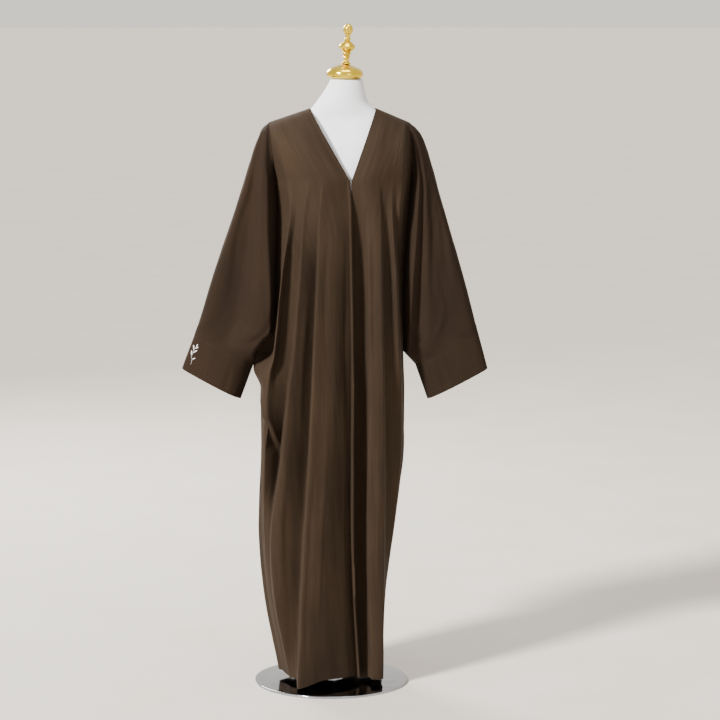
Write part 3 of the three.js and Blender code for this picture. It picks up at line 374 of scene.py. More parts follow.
CREASES: dict[str, tuple[Crease, ...]] = {
    "front_right": (
        overlap(26, 10, (25.9, 736), (24.6, 704), (23.0, 668), (21.6, 632), (20.3, 596)),
        trough(8, 1.8, (4.2, 1150), (4.6, 900), (4.2, 640)),
        trough(8, 1.8, (9.6, 1120), (9.9, 1000), (9.6, 860)),
        ridge(7, 1.6, (8.6, 700), (8.9, 420), (8.6, 160)),
        trough(8, 1.6, (10.6, 560), (10.9, 300), (10.6, 80)),
        ridge(8, 1.8, (15.6, 1000), (15.8, 820), (15.5, 640)),
        trough(9, 1.8, (16.2, 520), (16.0, 320), (16.3, 120)),
        trough(8, 2.0, (21.4, 1120), (21.6, 1000), (21.2, 880)),
        trough(6, 2.4, (25.2, 500), (24.2, 452), (23.0, 408)),
        trough(5, 2.2, (25.2, 462), (24.4, 418), (23.2, 380)),
        trough(5, 2.0, (25.2, 424), (24.6, 386), (23.6, 352)),
        trough(14, 1.5, (5.4, 1392), (7.4, 1330), (8.2, 1262)),
        trough(16, 1.4, (14, 1372), (15, 1310), (15.4, 1250)),
    ),
    "front_left": (
        trough(7, 1.8, (9.2, 1180), (9.4, 1020), (9.2, 860)),
        ridge(7, 1.4, (10.2, 760), (10.5, 520), (10.2, 260)),
        trough(7, 1.8, (16.2, 1180), (16.0, 1060), (16.3, 940)),
        trough(8, 2.4, (25.2, 806), (23.2, 742), (21.6, 690)),
        ridge(6, 2.4, (24.8, 630), (23.0, 560), (21.4, 470)),
        trough(6, 2.6, (24.9, 560), (23.4, 480), (22.0, 390)),
        ridge(6, 2.2, (24.6, 470), (23.2, 400), (21.8, 320)),
        trough(5, 2.2, (21.6, 300), (20.6, 262), (20.2, 220)),
        trough(14, 1.5, (7.4, 1392), (8.6, 1330), (9.4, 1270)),
        trough(15, 1.4, (15.4, 1376), (16.2, 1320), (16.4, 1285)),
    ),
    "back_right": (
        trough(8, 2.8, (2.6, 1190), (2.8, 980), (2.5, 700)),
        ridge(7, 2.4, (6.8, 1120), (7.0, 800), (6.7, 480)),
        trough(7, 2.6, (12, 1210), (11.7, 1010), (12, 800)),
        trough(8, 2.8, (15.6, 640), (15.8, 380), (15.5, 140)),
        trough(7, 2.8, (25, 824), (22.6, 758), (20.8, 690)),
        ridge(6, 2.2, (24.9, 790), (23.0, 724), (21.4, 652)),
        trough(6, 2.2, (25.2, 520), (24, 462), (23.2, 400)),
        ridge(8, 2.2, (22, 420), (21.6, 260), (21.8, 90)),
        trough(12, 2.0, (6, 1392), (8, 1330), (9, 1250)),
        trough(11, 1.8, (16, 1376), (17, 1316), (17.4, 1240)),
    ),
    "back_left": (
        trough(8, 2.6, (2.2, 1150), (2.4, 900), (2.2, 620)),
        ridge(7, 2.2, (6.4, 1180), (6.6, 860), (6.3, 520)),
        trough(7, 2.6, (11.2, 1200), (11, 960), (11.3, 720)),
        trough(7, 2.4, (15, 700), (15.3, 420), (15, 180)),
        ridge(7, 2.4, (24.8, 640), (23, 560), (21.6, 470)),
        trough(7, 2.8, (25, 820), (22.9, 756), (21.2, 700)),
        trough(6, 2.2, (25, 430), (23.8, 372), (23, 310)),
        trough(12, 1.8, (7, 1390), (8.6, 1326), (9.4, 1250)),
        trough(11, 1.6, (17, 1374), (17.6, 1310), (18, 1246)),
    ),
    "sleeve_right": (
        trough(10, 3.4, (5.6, 1340), (6.2, 1220), (6.0, 1090), (5.4, 960)),
        ridge(7, 2.6, (3.2, 1330), (3.2, 1180), (3.0, 1010), (2.8, 880)),
        trough(9, 2.6, (8.3, 1290), (8.2, 1120), (7.9, 960)),
        trough(7, 2.6, (2.4, 960), (3.0, 900), (4.2, 850)),
        trough(8, 2.2, (1.6, 880), (3.6, 862), (6.0, 850)),
        ridge(9, 2.0, (6.8, 1010), (6.6, 920), (6.0, 836)),
        trough(10, 3.0, (14.6, 1330), (14, 1200), (14.4, 1040), (14.8, 900)),
        ridge(8, 2.4, (16.8, 1300), (16.8, 1120), (17, 930)),
        trough(8, 2.2, (12, 1260), (12, 1100), (12.3, 940)),
    ),
    "sleeve_left": (
        trough(9, 3.0, (6.2, 1340), (6.4, 1210), (6.2, 1080), (5.8, 950)),
        ridge(6, 2.4, (4.2, 1320), (4.3, 1160), (4.2, 990), (4.0, 880)),
        trough(8, 2.6, (8.4, 1290), (8.2, 1130), (8.0, 970)),
        trough(7, 2.4, (1.6, 900), (3.2, 866), (5.4, 850)),
        ridge(9, 2.0, (6.6, 1000), (6.8, 920), (6.4, 840)),
        trough(9, 3.0, (14.4, 1330), (14.2, 1190), (14.6, 1030), (14.8, 900)),
        ridge(8, 2.4, (16.6, 1300), (16.8, 1110), (17, 930)),
        trough(8, 2.2, (12, 1250), (12.2, 1090), (12, 950)),
    ),
    "sleeve_end_right": (
        trough(8, 1.6, (5.4, 796), (5.2, 750), (5.4, 716)),
        ridge(7, 1.4, (2.8, 796), (2.6, 756), (2.8, 716)),
        trough(8, 1.6, (14.6, 796), (14.8, 750), (14.6, 716)),
    ),
    "sleeve_end_left": (
        trough(8, 1.6, (5.8, 796), (5.6, 750), (5.8, 716)),
        ridge(7, 1.4, (3.6, 796), (3.4, 756), (3.6, 716)),
        trough(8, 1.6, (14.4, 796), (14.6, 750), (14.4, 716)),
    ),
}

# ------------------------------------------------------------------ curves through tables


def smooth_through(at: np.ndarray, values: np.ndarray, where: np.ndarray,
                   ease: np.ndarray | None = None) -> np.ndarray:
    """A smooth curve through knots, with each slope taken from its neighbours.

    Args:
        at: the knots' places, rising, of shape (n,).
        values: the knots' values, of shape (n, m).
        where: the places asked for, of shape (k,).
        ease: how much of its slope each knot keeps, of shape (n,).

    Returns:
        The curve's values, of shape (k, m).
    """
    last = len(at) - 1
    k = np.clip(np.searchsorted(at, where, side="left") - 1, 0, last - 1)
    before, after = np.maximum(k - 1, 0), np.minimum(k + 2, last)
    span = (at[k + 1] - at[k])[:, None]
    u = (where - at[k])[:, None] / span
    slope_in = (values[k + 1] - values[before]) * span / (at[k + 1] - at[before])[:, None]
    slope_out = (values[after] - values[k]) * span / (at[after] - at[k])[:, None]
    if ease is not None:
        slope_in, slope_out = slope_in * ease[k, None], slope_out * ease[k + 1, None]
    return (values[k] * (2 * u**3 - 3 * u**2 + 1) + slope_in * (u**3 - 2 * u**2 + u)
            + values[k + 1] * (3 * u**2 - 2 * u**3) + slope_out * (u**3 - u**2))


def line_at(row: FoldLine, heights: dict[str, float], z: np.ndarray) -> np.ndarray:
    """A fold line's pair of values at each height, of shape (len(z), 2)."""
    names = [name for name in heights if name in row.places]
    at = np.array([-heights[name] for name in names], float)
    values = np.array([row.places[name] for name in names], float)
    return smooth_through(at, values, -z)


def column_weights(columns: list[float], ease: list[float], where: np.ndarray) -> np.ndarray:
    """How much each fold line counts at each cloth column, of shape (len(where), len(columns))."""
    return smooth_through(np.array(columns, float), np.eye(len(columns)), where, np.array(ease))


def blend(a: np.ndarray | float, b: np.ndarray | float, share: np.ndarray | float) -> np.ndarray:
    """Goes from a to b as share goes from 0 to 1."""
    return a + (b - a) * share


# ------------------------------------------------------------------ the cloth's surface


@dataclass
class ClothGrid:
    """A patch of cloth as rows from top to bottom and columns across, in mm.

    points has the shape (rows, columns, 3), and columns holds each column's place in the fold
    tables. mirrored says that the columns run the other way round the body.
    """

    points: np.ndarray
    columns: np.ndarray
    mirrored: bool

    def normals(self) -> np.ndarray:
        """The outward normal at each point."""
        down = np.gradient(self.points, axis=0)
        across = np.gradient(self.points, axis=1)
        normal = np.cross(down, across)
        length = np.linalg.norm(normal, axis=2, keepdims=True)
        normal = normal / np.maximum(length, TINY)
        return -normal if self.mirrored else normal

    def cloth_places(self) -> tuple[np.ndarray, np.ndarray]:
        """How far each point lies across and down the cloth, measured along it."""
        steps_across = np.linalg.norm(np.diff(self.points, axis=1), axis=2)
        steps_down = np.linalg.norm(np.diff(self.points, axis=0), axis=2)
        across = np.pad(np.cumsum(steps_across, axis=1), ((0, 0), (1, 0)))
        down = np.pad(np.cumsum(steps_down, axis=0), ((1, 0), (0, 0)))
        return across, np.broadcast_to(down.mean(axis=1)[:, None], across.shape)


class BodyShape:
    """Works out a front or a back half of the body from its fold lines."""

    YOKE_ROWS = 32
    ROW_STEP = 6.0
    FRONT_DENSITY, BACK_DENSITY = 5, 3      # grid columns to a column of the fold tables

    def __init__(self, side: Side, lines: tuple[FoldLine, ...], facing: int) -> None:
        """Takes the half's fold lines.

        Args:
            side: the half of the garment.
            lines: its fold lines from the centre to the armhole.
            facing: -1 for a front, 1 for a back.
        """
        self.side = side
        self.lines = lines
        self.facing = facing
        density = self.FRONT_DENSITY if facing < 0 else self.BACK_DENSITY
        self.columns = np.linspace(0, HALF_COLUMNS, HALF_COLUMNS * density + 1)
        knots, ease = [row.column for row in lines], [row.ease for row in lines]
        self.weights = column_weights(knots, ease, self.columns)

    def sections(self, z: np.ndarray) -> np.ndarray:
        """Level sections of the hanging cloth, of shape (len(z), columns, 2)."""
        values = np.array([line_at(row, LEVELS, z) for row in self.lines])
        below = z < LEVELS["under"]
        values[-1][below] = line_at(self.side.seam, LEVELS, z[below])
        return np.einsum("cl,lzk->zck", self.weights, values)

    def heights(self, z: np.ndarray) -> np.ndarray:
        """The height of each column at each level with the hem's lifts, (len(z), columns)."""
        column, lift = np.array(HEM_LIFTS[self.side.name, self.facing], float).T
        lifts = smooth_through(column, lift[:, None], self.columns)[:, 0]
        share = np.clip((HEM_LIFT_TOP - z) / (HEM_LIFT_TOP - LEVELS["hem"]), 0, 1)
        return z[:, None] + share[:, None] ** HEM_LIFT_POWER * lifts

    def yoke(self, steps: np.ndarray) -> np.ndarray:
        """The cloth from the shoulder seam to the vee level, of shape (rows, columns, 3)."""
        vee = self.sections(np.array([float(LEVELS["vee"])]))[0]
        share = self.columns / HALF_COLUMNS
        turn = steps[:, None] * math.pi / 2
        drop = 1 - np.cos(turn)
        swell = self.facing * SHOULDER_ROUND * share**4 * np.sin(steps[:, None] * math.pi)
        x = blend(blend(self.side.neck_x, self.side.tip_x, share), vee[:, 0], drop)
        y = vee[:, 1] * np.sin(turn) + swell
        z = blend(blend(NECK_POINT_Z, SHOULDER_TIP_Z, share), LEVELS["vee"], drop)
        return np.stack([x, y, z], axis=2)

    def back_neck(self, steps: np.ndarray, centre: np.ndarray) -> np.ndarray:
        """The centre column of a back: round the neck, then down the centre back."""
        neck_x, neck_y, neck_z = BACK_NECK
        turn = np.minimum(steps / BACK_NECK_SHARE, 1) * math.pi / 2
        share = np.maximum(steps - BACK_NECK_SHARE, 0) / (1 - BACK_NECK_SHARE)
        x = blend(blend(neck_x, self.side.neck_x, np.cos(turn)), centre[0], share)
        y = blend(neck_y * np.sin(turn), centre[1], np.sin(share * math.pi / 2))
        z = blend(blend(NECK_POINT_Z, neck_z, np.sin(turn)), centre[2], share)
        return np.stack([x, y, z], axis=1)

    def grid(self) -> ClothGrid:
        """The half's whole surface."""
        steps = np.linspace(0, 1, self.YOKE_ROWS)
        yoke = self.yoke(steps)
        if self.facing > 0:
            pull = self.back_neck(steps, yoke[-1, 0]) - yoke[:, 0]
            fade = (1 - self.columns / HALF_COLUMNS) ** 2
            yoke = yoke + pull[:, None, :] * fade[None, :, None]
        length = LEVELS["vee"] - LEVELS["hem"]
        z = np.linspace(LEVELS["vee"], LEVELS["hem"], round(length / self.ROW_STEP) + 1)[1:]
        z[np.argmin(abs(z - LEVELS["under"]))] = LEVELS["under"]
        sections = self.sections(z)
        hanging = np.concatenate([sections, self.heights(z)[:, :, None]], axis=2)
        mirrored = self.side.mirrored if self.facing < 0 else not self.side.mirrored
        return ClothGrid(np.concatenate([yoke, hanging]), self.columns, mirrored)


class SleeveShape:
    """Works out a sleeve and its end from the armhole's points and the sleeve's fold lines."""

    COLUMNS_PER_FOLD_COLUMN = 5
    ROWS_TO_END_SEAM = 9
    END_ROWS = 14

    def __init__(self, side: Side) -> None:
        """Takes the half of the garment that the sleeve hangs on."""
        self.side = side
        count = SLEEVE_COLUMNS * self.COLUMNS_PER_FOLD_COLUMN + 1
        self.columns = np.linspace(0, SLEEVE_COLUMNS, count)
        knots = [0, *(row.column for row in side.sleeve), SLEEVE_COLUMNS]
        ease = [1, *(row.ease for row in side.sleeve), 1]
        self.weights = column_weights(knots, ease, self.columns)

    @staticmethod
    def outer_height(inner_z: np.ndarray) -> np.ndarray:
        """The height at the outer fold of the ring whose inner fold is at inner_z."""
        inner = np.array([SHOULDER_TIP_Z, *(i for i, _ in STATIONS.values())], float)
        outer = np.array([SHOULDER_TIP_Z, *(o for _, o in STATIONS.values())], float)
        return smooth_through(-inner, outer[:, None], -inner_z)[:, 0]

    def rings(self, front: np.ndarray, back: np.ndarray) -> np.ndarray:
        """Rings of the sleeve between inner points, each over the outer fold.

        Args:
            front: the rings' front inner points, of shape (rows, 3).
            back: their back inner points, of the same shape.

        Returns:
            The rings' points, of shape (rows, columns, 3).
        """
        inner_z = front[:, 2]
        outer_z = self.outer_height(inner_z)
        line = np.array(self.side.arm_line, float)
        outer_x = smooth_through(-line[:, 0], line[:, 1:], -outer_z)[:, 0]
        cap = STATIONS["cap"][0]
        narrowing = (SHOULDER_TIP_Z - inner_z) / (SHOULDER_TIP_Z - cap)
        depth = np.where(inner_z > cap, np.sqrt(np.maximum(narrowing, 0)), 1)
        knots = [front]
        for row in self.side.sleeve:
            across, y = line_at(row, STATION_INNER, np.minimum(inner_z, cap)).T
            base = front if row.column <= SLEEVE_COLUMNS / 2 else back
            x = blend(base[:, 0], outer_x, across)
            knots.append(np.stack([x, y * depth, blend(inner_z, outer_z, across)], axis=1))
        knots.append(back)
        return np.einsum("cl,lrk->rck", self.weights, np.array(knots))

    def grids(self, front: ClothGrid, back: ClothGrid) -> tuple[ClothGrid, ClothGrid]:
        """The sleeve down to its end seam, and the sleeve end down to the cuff."""
        under_row = int(np.argmin(abs(front.points[:, -1, 2] - LEVELS["under"])))
        front_edge = front.points[1:under_row + 1, -1]
        back_edge = back.points[1:under_row + 1, -1]
        seam_point = np.array([self.side.end_seam_x, 0, STATIONS["end"][0]])
        cuff_point = np.array([self.side.cuff_x, 0, STATIONS["cuff"][0]])
        share = np.linspace(0, 1, self.ROWS_TO_END_SEAM + 1)[1:, None]
        tube = blend(front_edge[-1], seam_point, share)
        tip = np.broadcast_to(front.points[0, -1], (1, len(self.columns), 3))
        upper = self.rings(np.concatenate([front_edge, tube]), np.concatenate([back_edge, tube]))
        share = np.linspace(0, 1, self.END_ROWS + 1)[:, None]
        end = blend(seam_point, cuff_point, share)
        mirrored = self.side.mirrored
        return (ClothGrid(np.concatenate([tip, upper]), self.columns, mirrored),
                ClothGrid(self.rings(end, end), self.columns, mirrored))


# ------------------------------------------------------------------ relief


class Relief:
    """Lays creases, edge folds and a faint unevenness on a cloth grid."""

    SEAM_FADE = 14.0            # mm over which relief dies away before a seam
    WRINKLE = 0.9               # mm, the unevenness that the whole cloth has
    SLOW_WAVE = (26, 190)       # mm across and down the cloth
    QUICK_WAVE = (9, 70)
    QUICK_SHARE = 0.35          # the quick wave's height as a share of the slow one's
    QUICK_SEED = 40             # how far the quick wave's noise starts from the slow one's
    PATH_POINTS = 24
    PATH_END = 0.02             # share of a crease's path over which its end stays as it is
    LEAST_WIDTH = 0.55          # a crease's width at its ends as a share of its width
    BLUNTNESS = 0.7             # how fast a crease comes up from its ends: less is faster
    STEP_EDGE = 2.6             # mm over which a fold drops to the cloth beside it

    def __init__(self, grid: ClothGrid, creases: tuple[Crease, ...], seed: float) -> None:
        """Takes the grid and what goes on it.

        Args:
            grid: the smooth cloth.
            creases: its creases.
            seed: where this panel's unevenness starts in the noise.
        """
        self.grid = grid
        self.creases = creases
        self.seed = seed
        self.across, self.down = grid.cloth_places()

    def place(self, column: float, z: float) -> np.ndarray:
        """Where a column and height lie on the cloth, across and down, in mm."""
        i = int(np.argmin(abs(self.grid.columns - column)))
        j = int(np.argmin(abs(self.grid.points[:, i, 2] - z)))
        return np.array([self.across[j, i], self.down[j, i]])

    def crease_height(self, crease: Crease) -> np.ndarray:
        """One crease's height over the whole grid."""
        knots = np.array([self.place(column, z) for column, z in crease.path])
        at = np.arange(len(knots), dtype=float)
        path = smooth_through(at, knots, np.linspace(0, at[-1], self.PATH_POINTS))
        best = np.full(self.across.shape, np.inf)
        along = np.zeros(self.across.shape)
        side = np.zeros(self.across.shape)
        for k in range(len(path) - 1):
            start, way = path[k], path[k + 1] - path[k]
            rel_u, rel_v = self.across - start[0], self.down - start[1]
            t = np.clip((rel_u * way[0] + rel_v * way[1]) / max(way @ way, TINY), 0, 1)
            off_u, off_v = rel_u - t * way[0], rel_v - t * way[1]
            distance = np.hypot(off_u, off_v)
            closer = distance < best
            best = np.where(closer, distance, best)
            along = np.where(closer, (k + t) / (len(path) - 1), along)
            side = np.where(closer, np.sign(off_v * way[0] - off_u * way[1]), side)
        along = np.clip(along, self.PATH_END, 1 - self.PATH_END)
        taper = np.sin(along * math.pi) ** self.BLUNTNESS
        width = crease.width * blend(self.LEAST_WIDTH, 1, taper)
        if crease.kind is CreaseKind.STEP:
            fall = np.tanh(side * best / self.STEP_EDGE) * np.exp(-best / width)
            return crease.depth * np.sqrt(taper) * fall
        return crease.depth * taper * np.exp(-((best / width) ** 2))

    @staticmethod
    def wave(u: float, v: float, length: tuple[float, float], seed: float) -> float:
        """Noise at a place across and down the cloth, with its wave's length each way."""
        return noise.noise(Vector((u / length[0], v / length[1], seed)))

    def unevenness(self) -> np.ndarray:
        """A faint unevenness that runs mostly down the cloth."""
        height = np.zeros(self.across.shape)
        for j in range(height.shape[0]):
            for i in range(height.shape[1]):
                u, v = self.across[j, i], self.down[j, i]
                slow = self.wave(u, v, self.SLOW_WAVE, self.seed)
                quick = self.wave(u, v, self.QUICK_WAVE, self.seed + self.QUICK_SEED)
                height[j, i] = slow + self.QUICK_SHARE * quick
        return self.WRINKLE * height

    def shaped(self, seam_columns: tuple[int, ...], seam_rows: tuple[int, ...]) -> ClothGrid:
        """The grid with its relief, left as it is along its seams.

        Args:
            seam_columns: the grid columns (0 or -1) that are sewn.
            seam_rows: the grid rows (0 or -1) that are sewn.

        Returns:
            A new grid.
        """
        height = self.unevenness()
        for crease in self.creases:
            height += self.crease_height(crease)
        keep = np.ones(height.shape)
        for column in seam_columns:
            gap = abs(self.across - self.across[:, [column]])
            keep *= np.clip(gap / self.SEAM_FADE, 0, 1)
        for row in seam_rows:
            keep *= np.clip(abs(self.down - self.down[row]) / self.SEAM_FADE, 0, 1)
        points = self.grid.points + self.grid.normals() * (height * keep)[:, :, None]
        return ClothGrid(points, self.grid.columns, self.grid.mirrored)


# ------------------------------------------------------------------ working on meshes


def deselect_all() -> None:
    """Leaves object mode with nothing selected."""
    if bpy.context.mode != "OBJECT":
        bpy.ops.object.mode_set(mode="OBJECT")
    bpy.ops.object.select_all(action="DESELECT")


def make_active(piece: bpy.types.Object) -> None:
    """Selects one object alone and makes it the active one."""
    deselect_all()
    piece.select_set(True)
    bpy.context.view_layer.objects.active = piece


@contextmanager
def opened(piece: bpy.types.Object) -> Iterator[None]:
    """Opens a piece in edit mode with all of it selected, and closes it at the end."""
    make_active(piece)
    bpy.ops.object.mode_set(mode="EDIT")
    bpy.ops.mesh.select_all(action="SELECT")
    yield
    bpy.ops.object.mode_set(mode="OBJECT")


def apply_modifier(piece: bpy.types.Object, kind: str, **settings: object) -> None:
    """Adds a modifier with its settings and applies it."""
    make_active(piece)
    modifier = piece.modifiers.new(kind.title(), kind)
    for name, value in settings.items():
        setattr(modifier, name, value)
    bpy.ops.object.modifier_apply(modifier=modifier.name)


def shade_smooth(piece: bpy.types.Object, angle: float) -> None:
    """Shades a piece smooth but for its edges sharper than an angle in degrees."""
    make_active(piece)
    bpy.ops.object.shade_smooth_by_angle(angle=math.radians(angle))


def clean_up(piece: bpy.types.Object, distance: float = 1e-6) -> None:
    """Merges points nearer than a distance in metres and turns the faces outwards."""
    with opened(piece):
        bpy.ops.mesh.remove_doubles(threshold=distance)
        bpy.ops.mesh.normals_make_consistent(inside=False)


def dress(piece: bpy.types.Object, material: bpy.types.Material) -> None:
    """Gives a piece one material all over."""
    piece.data.materials.clear()
    piece.data.materials.append(material)


def new_piece(name: str, points: list, faces: list[tuple[int, ...]]) -> bpy.types.Object:
    """A new piece in the scene from points in mm and faces."""
    mesh = bpy.data.meshes.new(name)
    mesh.from_pydata([tuple(p) for p in np.array(points) * MM], [], faces)
    piece = bpy.data.objects.new(name, mesh)
    bpy.context.scene.collection.objects.link(piece)
    return piece


def ball(add: Callable, **settings: object) -> tuple[np.ndarray, list[tuple[int, ...]]]:
    """The points and faces of the unit ball that a primitive call makes with its settings."""
    deselect_all()
    add(radius=1.0, **settings)
    model = bpy.context.active_object
    points = np.array([tuple(v.co) for v in model.data.vertices])
    faces = [tuple(face.vertices) for face in model.data.polygons]
    bpy.data.objects.remove(model)
    return points, faces


def join(pieces: list[bpy.types.Object], name: str) -> bpy.types.Object:
    """Joins pieces into the first of them, under a new name."""
    make_active(pieces[0])
    for piece in pieces:
        piece.select_set(True)
    bpy.ops.object.join()
    pieces[0].name = name
    return pieces[0]


def lean_with_form(piece: bpy.types.Object) -> None:
    """Leans a piece as the form leans and puts its place in its mesh."""
    piece.matrix_world = Matrix.Rotation(FORM_LEAN, 4, "Y") @ piece.matrix_world
    make_active(piece)
    bpy.ops.object.transform_apply(location=True, rotation=True, scale=True)


# ------------------------------------------------------------------ shader groups and finishes

Colour = tuple[float, float, float, float]


def srgb(red: float, green: float, blue: float) -> Colour:
    """A colour given as 0 to 255 display values."""
    linear = [(c / 255 / 12.92) if c <= 10 else ((c / 255 + 0.055) / 1.055) ** 2.4
              for c in (red, green, blue)]
    return (*linear, 1.0)


class NodeBench:
    """Adds nodes to a tree and links them."""

    def __init__(self, tree: bpy.types.NodeTree) -> None:
        """Takes the tree to work on."""
        self.tree = tree

    def add(self, kind: str, **values: object) -> bpy.types.Node:
        """Adds a node.

        Args:
            kind: the node's type, such as "ShaderNodeMath".
            values: its properties, and its inputs' values under their names with _ for a space.

        Returns:
            The new node.
        """
        node = self.tree.nodes.new(kind)
        inputs = {socket.name.replace(" ", "_"): socket for socket in reversed(node.inputs)}
        for name, value in values.items():
            if name in inputs:
                self.feed(value, inputs[name])
            else:
                setattr(node, name, value)
        return node

    def feed(self, value: object, socket: bpy.types.NodeSocket) -> None:
        """Links an output to an input, or sets the input's value."""
        if isinstance(value, bpy.types.NodeSocket):
            self.tree.links.new(value, socket)
        else:
            socket.default_value = value

    def math(self, operation: str, *terms: object) -> bpy.types.NodeSocket:
        """A sum or product of values and sockets."""
        node = self.add("ShaderNodeMath", operation=operation)
        for term, socket in zip(terms, node.inputs):
            self.feed(term, socket)
        return node.outputs[0]

    def noise(self, vector: bpy.types.NodeSocket, stretch: tuple[float, float, float],
              detail: float = 3.0) -> bpy.types.NodeSocket:
        """Noise whose grain is stretched differently along each axis, in waves to the metre."""
        mapping = self.add("ShaderNodeMapping", Vector=vector, Scale=stretch)
        texture = self.add("ShaderNodeTexNoise", Vector=mapping.outputs[0], Scale=1.0,
                           Detail=detail)
        return texture.outputs[0]

    def mix(self, share: object, low: object, high: object) -> bpy.types.NodeSocket:
        """A colour between low and high."""
        node = self.add("ShaderNodeMix", data_type="RGBA")
        for value, name in ((share, "Factor_Float"), (low, "A_Color"), (high, "B_Color")):
            self.feed(value, next(s for s in node.inputs if s.identifier == name))
        return next(s for s in node.outputs if s.identifier == "Result_Color")

    def spread(self, value: object, low: float, high: float) -> bpy.types.NodeSocket:
        """Takes a noise's middle range to the range from low to high."""
        node = self.add("ShaderNodeMapRange", Value=value, From_Min=0.3, From_Max=0.7,
                        To_Min=low, To_Max=high)
        return node.outputs[0]


class Effect(Enum):
    """The effects that more than one material uses."""

    NAP = "nap"
    KNIT = "knit"
    WEAR = "wear"


class EffectShelf:
    """Builds each shared effect once, as a shader node group."""

    def __init__(self) -> None:
        """Starts with no group built."""
        self.groups: dict[Effect, bpy.types.NodeTree] = {}

    def get(self, effect: Effect) -> bpy.types.NodeTree:
        """The group of an effect, built on its first use."""
        if effect not in self.groups:
            tree = bpy.data.node_groups.new(effect.value, "ShaderNodeTree")
            tree.interface.new_socket("Vector", in_out="INPUT", socket_type="NodeSocketVector")
            tree.interface.new_socket("Shade", in_out="OUTPUT", socket_type="NodeSocketFloat")
            tree.interface.new_socket("Height", in_out="OUTPUT", socket_type="NodeSocketFloat")
            build = {Effect.NAP: self.nap, Effect.KNIT: self.knit, Effect.WEAR: self.wear}[effect]
            bench = NodeBench(tree)
            source = bench.add("NodeGroupInput")
            shade, height = build(bench, source.outputs[0])
            bench.add("NodeGroupOutput", Shade=shade, Height=height)
            self.groups[effect] = tree
        return self.groups[effect]

    @staticmethod
    def nap(bench: NodeBench, place: bpy.types.NodeSocket) -> tuple[bpy.types.NodeSocket, ...]:
        """Brushed pile: slow patches, streaks that run down the cloth, and fine fibres."""
        patches = bench.noise(place, (7, 3.2, 7), 2.5)
        streaks = bench.noise(place, (230, 9, 230), 3)
        fibres = bench.noise(place, (1500, 420, 1500), 2)
        slow = bench.math("MULTIPLY_ADD", patches, 0.62, bench.math("MULTIPLY", streaks, 0.24))
        shade = bench.math("MULTIPLY_ADD", fibres, 0.14, slow)
        height = bench.math("MULTIPLY_ADD", fibres, 0.75, bench.math("MULTIPLY", streaks, 0.25))
        return shade, height

    @staticmethod
    def knit(bench: NodeBench, place: bpy.types.NodeSocket) -> tuple[bpy.types.NodeSocket, ...]:
        """Fine jersey: small loops in columns, with a slow unevenness."""
        columns = bench.add("ShaderNodeTexWave", Vector=place, Scale=190.0, Distortion=0.6,
                            Detail=1.0, bands_direction="X")
        courses = bench.add("ShaderNodeTexWave", Vector=place, Scale=150.0, Distortion=0.8,
                            Detail=1.0, bands_direction="Z")
        height = bench.math("MULTIPLY", columns.outputs[1], courses.outputs[1])
        slow = bench.noise(place, (16, 16, 16), 2)
        return bench.math("MULTIPLY_ADD", height, 0.12, slow), height

    @staticmethod
    def wear(bench: NodeBench, place: bpy.types.NodeSocket) -> tuple[bpy.types.NodeSocket, ...]:
        """Handled metal: wiped smudges and fine scratches."""
        smudges = bench.noise(place, (24, 24, 24), 5)
        scratches = bench.noise(place, (60, 1300, 60), 3)
        shade = bench.math("MULTIPLY_ADD", smudges, 0.8, bench.math("MULTIPLY", scratches, 0.2))
        return shade, scratches


SHELF = EffectShelf()


@dataclass(frozen=True)
class Finish:
    """A finish whose colour and roughness follow a shared effect.

    Its colour moves between deep and lit, and its roughness between smooth and rough. relief is
    the depth in metres of its bump. The class says which effect it has, on which coordinate the
    effect lies, how strong the bump is and which of the shader's values are set.
    """

    name: str
    deep: Colour
    lit: Colour
    smooth: float
    rough: float
    relief: float

    effect: ClassVar[Effect]
    coordinate: ClassVar[str] = "Object"
    bump: ClassVar[float]

    def values(self) -> dict[str, float | Colour]:
        """The shader's values that are the same all over, under its inputs' names."""
        raise NotImplementedError

    def material(self) -> bpy.types.Material:
        """Builds the material."""
        material = bpy.data.materials.new(self.name)
        material.use_nodes = True
        bench = NodeBench(material.node_tree)
        inputs = material.node_tree.nodes["Principled BSDF"].inputs
        place = bench.add("ShaderNodeTexCoord").outputs[self.coordinate]
        group = bench.add("ShaderNodeGroup", node_tree=SHELF.get(self.effect))
        bench.feed(place, group.inputs[0])
        shade = group.outputs["Shade"]
        share = bench.spread(shade, 0.0, 1.0)
        bench.feed(bench.mix(share, self.deep, self.lit), inputs["Base Color"])
        bench.feed(bench.spread(shade, self.smooth, self.rough), inputs["Roughness"])
        for name, value in self.values().items():
            inputs[name].default_value = value
        bump = bench.add("ShaderNodeBump", Strength=self.bump, Distance=self.relief,
                         Height=group.outputs["Height"])
        bench.feed(bump.outputs[0], inputs["Normal"])
        return material


@dataclass(frozen=True)
class ClothFinish(Finish):
    """Soft cloth with a nap that lights up at a grazing angle, on its own cloth coordinates."""

    sheen: float
    sheen_roughness: float
    sheen_tint: Colour

    effect = Effect.NAP
    coordinate = "UV"
    bump = 0.5

    def values(self) -> dict[str, float | Colour]:
        """The nap's sheen, over a dull surface."""
        return {"Sheen Weight": self.sheen, "Sheen Roughness": self.sheen_roughness,
                "Sheen Tint": self.sheen_tint, "Specular IOR Level": 0.12}


class JerseyFinish(Finish):
    """The form's stretched cover."""

    effect = Effect.KNIT
    bump = 0.35

    def values(self) -> dict[str, float | Colour]:
        """A faint sheen."""
        return {"Sheen Weight": 0.2}


class MetalFinish(Finish):
    """Polished metal with smudges and fine scratches."""

    effect = Effect.WEAR
    bump = 0.15

    def values(self) -> dict[str, float | Colour]:
        """Bare metal."""
        return {"Metallic": 1.0}


